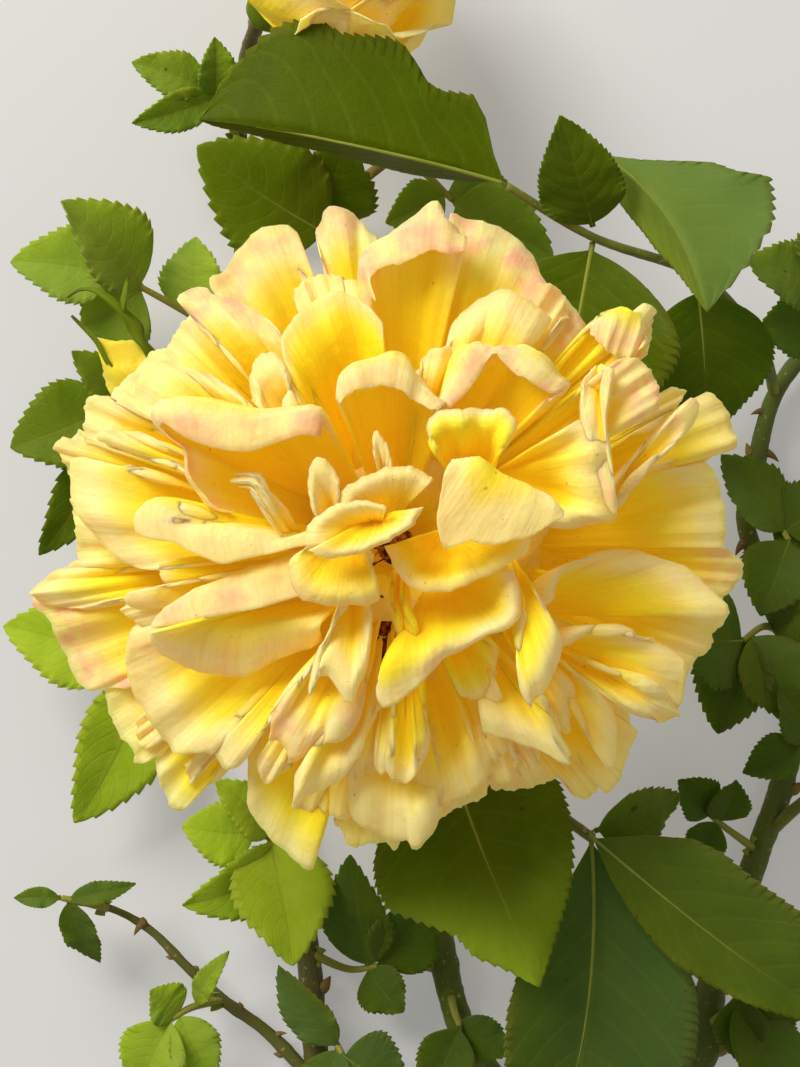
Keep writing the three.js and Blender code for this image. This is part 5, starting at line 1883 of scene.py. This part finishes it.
    bright: tuple[CompoundLeaf, ...] = (
        CompoundLeaf("left_lower_spray", ((-17.5, -26, 2.3), (-29.5, -20, 9), (-38, -18, 13)),
            ((-55.5, -13, 15, 15), (-44, -7, 17, 10), (-45.5, -40.5, 13, 16)), 0.85, 0.05),
        CompoundLeaf("left_foot_spray", ((-14, -50, 2.5), (-15.5, -44, 9), (-20, -42, 13)),
            ((-30.5, -41, 15, 11), (-26, -34.5, 18, 9), (-15, -60.5, 20, 17), (-30.5, -52, 18, 12)), 0.8,
            0.0),
        CompoundLeaf("left_ground_spray", ((-25, -65.2, 6.2), (-29.5, -66.5, 11), (-32, -68, 13)),
            ((-36.5, -78, 13, 12), (-35, -64, 15, 8), (-26, -77, 12, 9), (-24, -58.5, 16, 4)), 0.6, 0.3),
        CompoundLeaf("top_left_spray", ((-22.5, 55, 5.3), (-25, 59.5, 12), (-27, 62, 15)),
            ((-37.5, 66, 18, 8), (-26, 69.5, 18, 7), (-37.5, 57.5, 20, 7), (-17, 62, 20, 9)), 0.5, 0.4),
        CompoundLeaf("top_middle_spray", ((0, 53.5, 15), (4, 50, 18), (7.5, 46.5, 18)),
            ((21.5, 38.5, 22, 14), (15.5, 48.5, 14, 9), (-2, 43.5, 20, 9)), 0.55, 0.4),
    )

    LARGE_COLS = 21
    LARGE_SEED = 200
    SPRAY_SEED = 300

    def build(self, blade: bpy.types.Material, bark: bpy.types.Material) -> None:
        """Makes the leaf pieces and one piece of stalks, ribs and stipules.

        Args:
            blade: the leaves' finish.
            bark: the stalks' finish.
        """
        stems = Weave(("age", "ruddy", "side"))
        values = ("fresh", "sage", "edge", "side")
        big = Weave(values)
        for k, leaflet in enumerate(self.large):
            leaflet.weave_into(big, stems, self.LARGE_COLS, np.random.default_rng(self.LARGE_SEED + k))
        settle(big.build("leaves_large", blade), Slot.LEAF_DARK, *(leaf.node for leaf in self.large))
        for name, slot, leaves in (
            ("leaves_dark", Slot.LEAF_DARK, self.dark),
            ("leaves_bright", Slot.LEAF_FRESH, self.bright),
        ):
            weave = Weave(values)
            for k, leaf in enumerate(leaves):
                leaf.weave_into(weave, stems, np.random.default_rng(self.SPRAY_SEED + k))
            settle(weave.build(name, blade), slot, *(leaf.node for leaf in leaves))
        settle(stems.build("leaf_stalks", bark), Slot.GREEN_CANE)


# ---------------------------------------------------------------- hips, sepals, bud and side bloom


SEPAL_ROWS = 33
SEPAL_COLS = 9
SEPAL_THICK_MM = 0.45


def sepal_into(weave: Weave, places: np.ndarray, width: float, up: np.ndarray, cup: float) -> None:
    """Adds one long-pointed sepal.

    Args:
        weave: the mesh that takes it.
        places: its middle line, in metres.
        width: its width at the foot, in mm.
        up: the way that its upper face looks.
        cup: how far its sides are lifted, in degrees.
    """
    share = np.linspace(0, 1, SEPAL_ROWS)
    frill = 1 + 0.16 * np.sin(share * 26) * smooth(share, 0.25, 0.4)
    half = 0.5 * width * (1 - share) ** 0.75 * frill + 0.16
    grid = ribbon(sample(places, share), half * MM, up, cup, SEPAL_COLS)
    thick = np.full(grid.shape[:2], SEPAL_THICK_MM * MM) * (1 - 0.5 * share[:, None])
    weave.sheet(grid, thick, strip_uv(*grid.shape[:2]), edge=smooth(share, 0.82, 1.0)[:, None])


@dataclass
class Calyx:
    """The open bloom's hip with five sepals bent back under the petals.

    Args:
        foot: where the hip stands on its stem, in layout millimetres.
        radius, height: the hip's size, in mm.
        start, reach: how far from the middle a sepal begins and ends, in mm.
        count, width: how many sepals there are, and how wide each is, in mm.
    """

    foot: Place = (-0.5, -1.5, 32.7)
    radius: float = 5.2
    height: float = 9.0
    start: float = 3.6
    reach: float = 21.0
    count: int = 5
    width: float = 6.4

    def build(self, skin: bpy.types.Material) -> None:
        """Makes the hip and its sepals as one piece.

        Args:
            skin: their finish.
        """
        weave = Weave(("edge", "side"))
        foot = lay(np.array(self.foot))
        share = np.linspace(0, 1, 15)
        profile = np.interp(share, [0, 0.12, 0.38, 0.68, 0.9, 1], [0.45, 0.72, 0.97, 1.0, 0.86, 0.78])
        weave.tube(foot + np.outer(share, [0, 0, self.height * MM]), profile * self.radius * MM, 18)
        t = np.linspace(0, 1, 60)
        for i in range(self.count):
            bearing = 2 * math.pi * (i + 0.35) / self.count
            out = np.array([math.cos(bearing), math.sin(bearing), 0])
            radius = self.start + (self.reach - self.start) * t
            height = self.height - 1.6 + 1.2 * np.sin(math.pi * t) - 4.4 * t**2
            places = foot + (radius[:, None] * out + height[:, None] * UPWARDS) * MM
            sepal_into(weave, places, self.width, UPWARDS, cup=-18)
        settle(weave.build("calyx", skin), Slot.SEPAL, "hip_and_sepals")


@dataclass
class Bud:
    """The bud beside the bloom: tight yellow petals between long dark-tipped sepals.

    Args:
        foot, tip: its ends, in layout millimetres.
        radius: its radius at the thickest, in mm.
        sepals: the width of each sepal in mm, and the places that it runs through.
    """

    foot: Place = (-32, 18, 38)
    tip: Place = (-42.3, 27.1, 46)
    radius: float = 4.6
    sepals: tuple[tuple[float, tuple[Place, ...]], ...] = (
        (1.8, ((-32.2, 19.4, 39), (-37, 19, 42), (-39.3, 21.4, 44.5), (-41, 23.8, 46), (-42.8, 27.2, 46.8),
            (-44.6, 29.1, 47), (-46, 30.5, 47))),
        (3.4, ((-32.2, 18.4, 39.5), (-32.4, 22.5, 43), (-35, 25.9, 45), (-36.3, 27.6, 46),
            (-37.3, 29.4, 46.5), (-38.4, 30.9, 47), (-39.6, 32.1, 47.4), (-40.9, 33.2, 47.6),
            (-42.3, 34.1, 47.7), (-43.9, 34.4, 47.6), (-45.4, 34, 47.3), (-46.6, 33, 47))),
        (1.5, ((-38.8, 31.4, 47.2), (-38.9, 32.6, 47.8), (-38.6, 34, 48), (-38.2, 35.8, 48))),
        (3.2, ((-33, 17.2, 38.6), (-35.5, 17.5, 37.5), (-38, 19.5, 38.5), (-40.5, 22.5, 41))),
    )
    SIDES = 24

    def build(self, petal: bpy.types.Material, skin: bpy.types.Material) -> None:
        """Makes the bud's petals, and its hip with the sepals.

        Args:
            petal: the petals' finish.
            skin: the green parts' finish.
        """
        foot, tip = lay(np.array(self.foot)), lay(np.array(self.tip))
        share = np.linspace(0, 1, 30)
        stations = [0, 0.12, 0.35, 0.55, 0.7, 0.8, 0.9, 1]
        profile = np.interp(share, stations, [0.5, 0.72, 0.97, 1, 0.74, 0.52, 0.28, 0.04])
        turn = np.arange(self.SIDES) / self.SIDES
        wrap = ((turn[None] + 0.9 * share[:, None]) * 3) % 1.0
        relief = 0.16 * self.radius * (wrap - 0.5) * smooth(share, 0.2, 0.6)[:, None]
        body = Weave(PETAL_VALUES)
        radius = profile * self.radius * MM
        body.tube(foot + np.outer(share, tip - foot), radius, self.SIDES, relief * MM, rim=0.4, flush=0.1)
        settle(body.build("bud_petals", petal), Slot.PETAL, "bud")
        green = Weave(("edge", "side"))
        axis = unit(tip - foot)
        hip = np.linspace(-0.16, 0.3, 12)
        girth = np.interp(hip, [-0.16, -0.05, 0.1, 0.3], [0.3, 0.62, 0.86, 0.8])
        length = np.linalg.norm(tip - foot)
        green.tube(foot + np.outer(hip, axis * length), girth * self.radius * MM, 14)
        for width, places in self.sepals:
            line = lay(path_through(places))
            sepal_into(green, line, width, unit(line.mean(axis=0) - foot - axis * 2 * MM), cup=-30)
        settle(green.build("bud_sepals", skin), Slot.SEPAL, "bud")


@dataclass
class SideBloom:
    """The half-open bloom at the tip of the left cane, a cup that leans away up the branch.

    Args:
        hip, mouth: the ends of its middle line, in layout millimetres.
        seed: where its random numbers start.
        whorls: for each whorl, how many petals it has, their reach in mm, their height as a share
            of the bloom's, their width in mm and how far their tips are rolled back, in degrees.
        sepals, width: how many sepals there are, and how wide each is, in mm.
    """

    hip: Place = (-19.7, 71.9, 25.1)
    mouth: Place = (-3, 91, 43)
    seed: int = 31
    whorls: tuple[tuple[int, float, float, float, float], ...] = (
        (6, 19.5, 0.78, 23, 55), (6, 15.5, 0.92, 20, 35), (5, 10.5, 1.0, 16, 20), (4, 5.0, 1.02, 12, 5),
    )
    sepals: int = 5
    width: float = 5.2

    def fit(self, places: np.ndarray) -> np.ndarray:
        """Lays the bloom's own places on the branch.

        Args:
            places: places in mm, with +Z out of the bloom's mouth.

        Returns:
            The same places in metres, in the CAD frame.
        """
        hip, mouth = lay(np.array(self.hip)), lay(np.array(self.mouth))
        axis = unit(mouth - hip)
        side = unit(np.cross(axis, UPWARDS))
        over = np.cross(axis, side)
        basis = np.stack([side, over, axis])
        return hip + (places @ basis) * MM

    def petals(self) -> list[Petal]:
        """The petals, spread in the outer whorls and upright in the inner ones.

        Returns:
            The petals, the outermost whorl first.
        """
        rng = np.random.default_rng(self.seed)
        depth = np.linalg.norm(lay(np.array(self.mouth)) - lay(np.array(self.hip))) / MM
        made = []
        for count, reach, height, width, curl in self.whorls:
            for k in range(count):
                bearing = 360 * (k + 0.13 * reach + rng.uniform(-0.15, 0.15)) / count
                x, y = math.cos(math.radians(bearing)), math.sin(math.radians(bearing))
                out = reach * rng.uniform(0.92, 1.05)
                tall = depth * height
                belly = (0.95 * out * x, 0.95 * out * y, 0.52 * tall)
                tip = (out * x, out * y, tall * rng.uniform(0.95, 1.03))
                claw = (1.5 * x, 1.5 * y, 0.12 * depth)
                blade = dict(cup=42, curl=curl, pale=rng.uniform(0, 0.5), ruffle=0.8, bare=-0.3)
                made.append(Petal(tip, width, bearing, (belly,), claw, (0, 0, 0), **blade))
        return made

    def build(self, petal: bpy.types.Material, skin: bpy.types.Material) -> None:
        """Makes the petals, and the hip with its sepals.

        Args:
            petal: the petals' finish.
            skin: the green parts' finish.
        """
        whorl = PetalWhorl("side_bloom_petals", self.petals(), self.seed, 22, 17, self.fit, (0, 0, 0))
        settle(whorl.build(petal), Slot.PETAL, "top_bloom")
        green = Weave(("edge", "side"))
        share = np.linspace(0, 1, 12)
        profile = np.interp(share, [0, 0.2, 0.5, 0.8, 1], [1.6, 3.0, 3.6, 3.2, 2.6])
        green.tube(self.fit(np.outer(share, [0, 0, 5.5]) - [0, 0, 0.6]), profile * MM, 16)
        t = np.linspace(0, 1, 50)
        for i in range(self.sepals):
            bearing = 2 * math.pi * (i + 0.2) / self.sepals
            out = np.array([math.cos(bearing), math.sin(bearing), 0])
            radius = 2.4 + 12.5 * np.sin(t * 1.45)
            height = 4.2 + 7.5 * t**1.3 - 9 * t**4
            places = self.fit(radius[:, None] * out + height[:, None] * UPWARDS)
            face = self.fit(out - 0.5 * UPWARDS) - self.fit(np.zeros(3))
            sepal_into(green, places, self.width, face, cup=-20)
        settle(green.build("side_bloom_sepals", skin), Slot.SEPAL, "top_bloom")


# ---------------------------------------------------------------- studio


@dataclass(frozen=True)
class Lamp:
    """A square soft lamp: its name, place beside the bloom and size in metres, and power in watts."""

    name: str
    offset: Place
    size: float
    watts: float


@dataclass
class Studio:
    """The floor, the soft light and the camera above the bloom.

    Args:
        floor_m: how wide the floor is.
        sensor_mm: the height of the camera's sensor.
        seen_mm: how much of the bloom's plane the camera sees from top to bottom.
        sky, sky_strength: colour and strength of the even light from all sides.
        lamps: a window beyond the top of the branch, and a weak fill lamp.
    """

    floor_m: float = 4.0
    sensor_mm: float = 36.0
    seen_mm: float = 149.4
    sky: str = "#F2F4F7"
    sky_strength: float = 0.34
    lamps: tuple[Lamp, ...] = (
        Lamp("lamp_window", (-0.5, 0.6, 0.65), 0.5, 12.0),
        Lamp("lamp_fill", (0.5, -0.2, 1.0), 0.8, 0.8),
    )

    def floor(self) -> None:
        """Lays a plain floor under the branch."""
        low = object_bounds()[0][2]
        mesh = bpy.data.meshes.new("floor")
        h = self.floor_m / 2
        mesh.from_pydata([(-h, -h, low), (h, -h, low), (h, h, low), (-h, h, low)], [], [(0, 1, 2, 3)])
        mesh.materials.append(FloorPaint().material())
        floor = bpy.data.objects.new("floor", mesh)
        bpy.context.scene.collection.objects.link(floor)
        floor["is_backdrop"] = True

    def light(self) -> None:
        """Sets a pale even sky and the soft lamps."""
        world = bpy.data.worlds.new("studio_air")
        world.use_nodes = True
        world.node_tree.nodes["Background"].inputs["Color"].default_value = linear(self.sky)
        world.node_tree.nodes["Background"].inputs["Strength"].default_value = self.sky_strength
        bpy.context.scene.world = world
        bpy.context.scene.view_settings.view_transform = "Standard"
        aim = lay(np.array([0, 0, BLOOM_PLANE]))
        for lamp in self.lamps:
            light = bpy.data.lights.new(lamp.name, "AREA")
            light.size = lamp.size
            light.energy = lamp.watts
            held = bpy.data.objects.new(lamp.name, light)
            held.location = Vector(aim) + Vector(lamp.offset)
            held.rotation_euler = (-Vector(lamp.offset)).to_track_quat("-Z", "Y").to_euler()
            bpy.context.scene.collection.objects.link(held)

    def camera(self) -> None:
        """Hangs the camera straight above the bloom, looking down, with +Y up in its view."""
        lens = bpy.data.cameras.new("camera")
        lens.sensor_fit = "VERTICAL"
        lens.sensor_height = self.sensor_mm
        lens.lens = self.sensor_mm * EYE_ABOVE_PLANE / self.seen_mm
        lens.clip_start = 0.01
        held = bpy.data.objects.new("camera", lens)
        held.location = lay(np.array([0, 0, BLOOM_PLANE])) + UPWARDS * EYE_ABOVE_PLANE * MM
        bpy.context.scene.collection.objects.link(held)
        bpy.context.scene.camera = held


def main() -> None:
    """Builds every piece in order; each piece's face count is logged as it is settled."""
    logging.basicConfig(level=logging.INFO, format="%(message)s")
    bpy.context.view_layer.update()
    studio = Studio()
    studio.floor()
    studio.light()
    studio.camera()
    petal, blade, bark, skin = (f().material() for f in (Petals, LeafBlades, CaneBark, SepalSkin))
    OpenBloom().build(petal, DriedStamens().material())
    SideBloom().build(petal, skin)
    Bud().build(BudPetals().material(), skin)
    Calyx().build(skin)
    wood = Canes().build(bark)
    Prickles().build(wood[0], bark)
    Foliage().build(blade, bark)


if __name__ == "__main__":
    main()
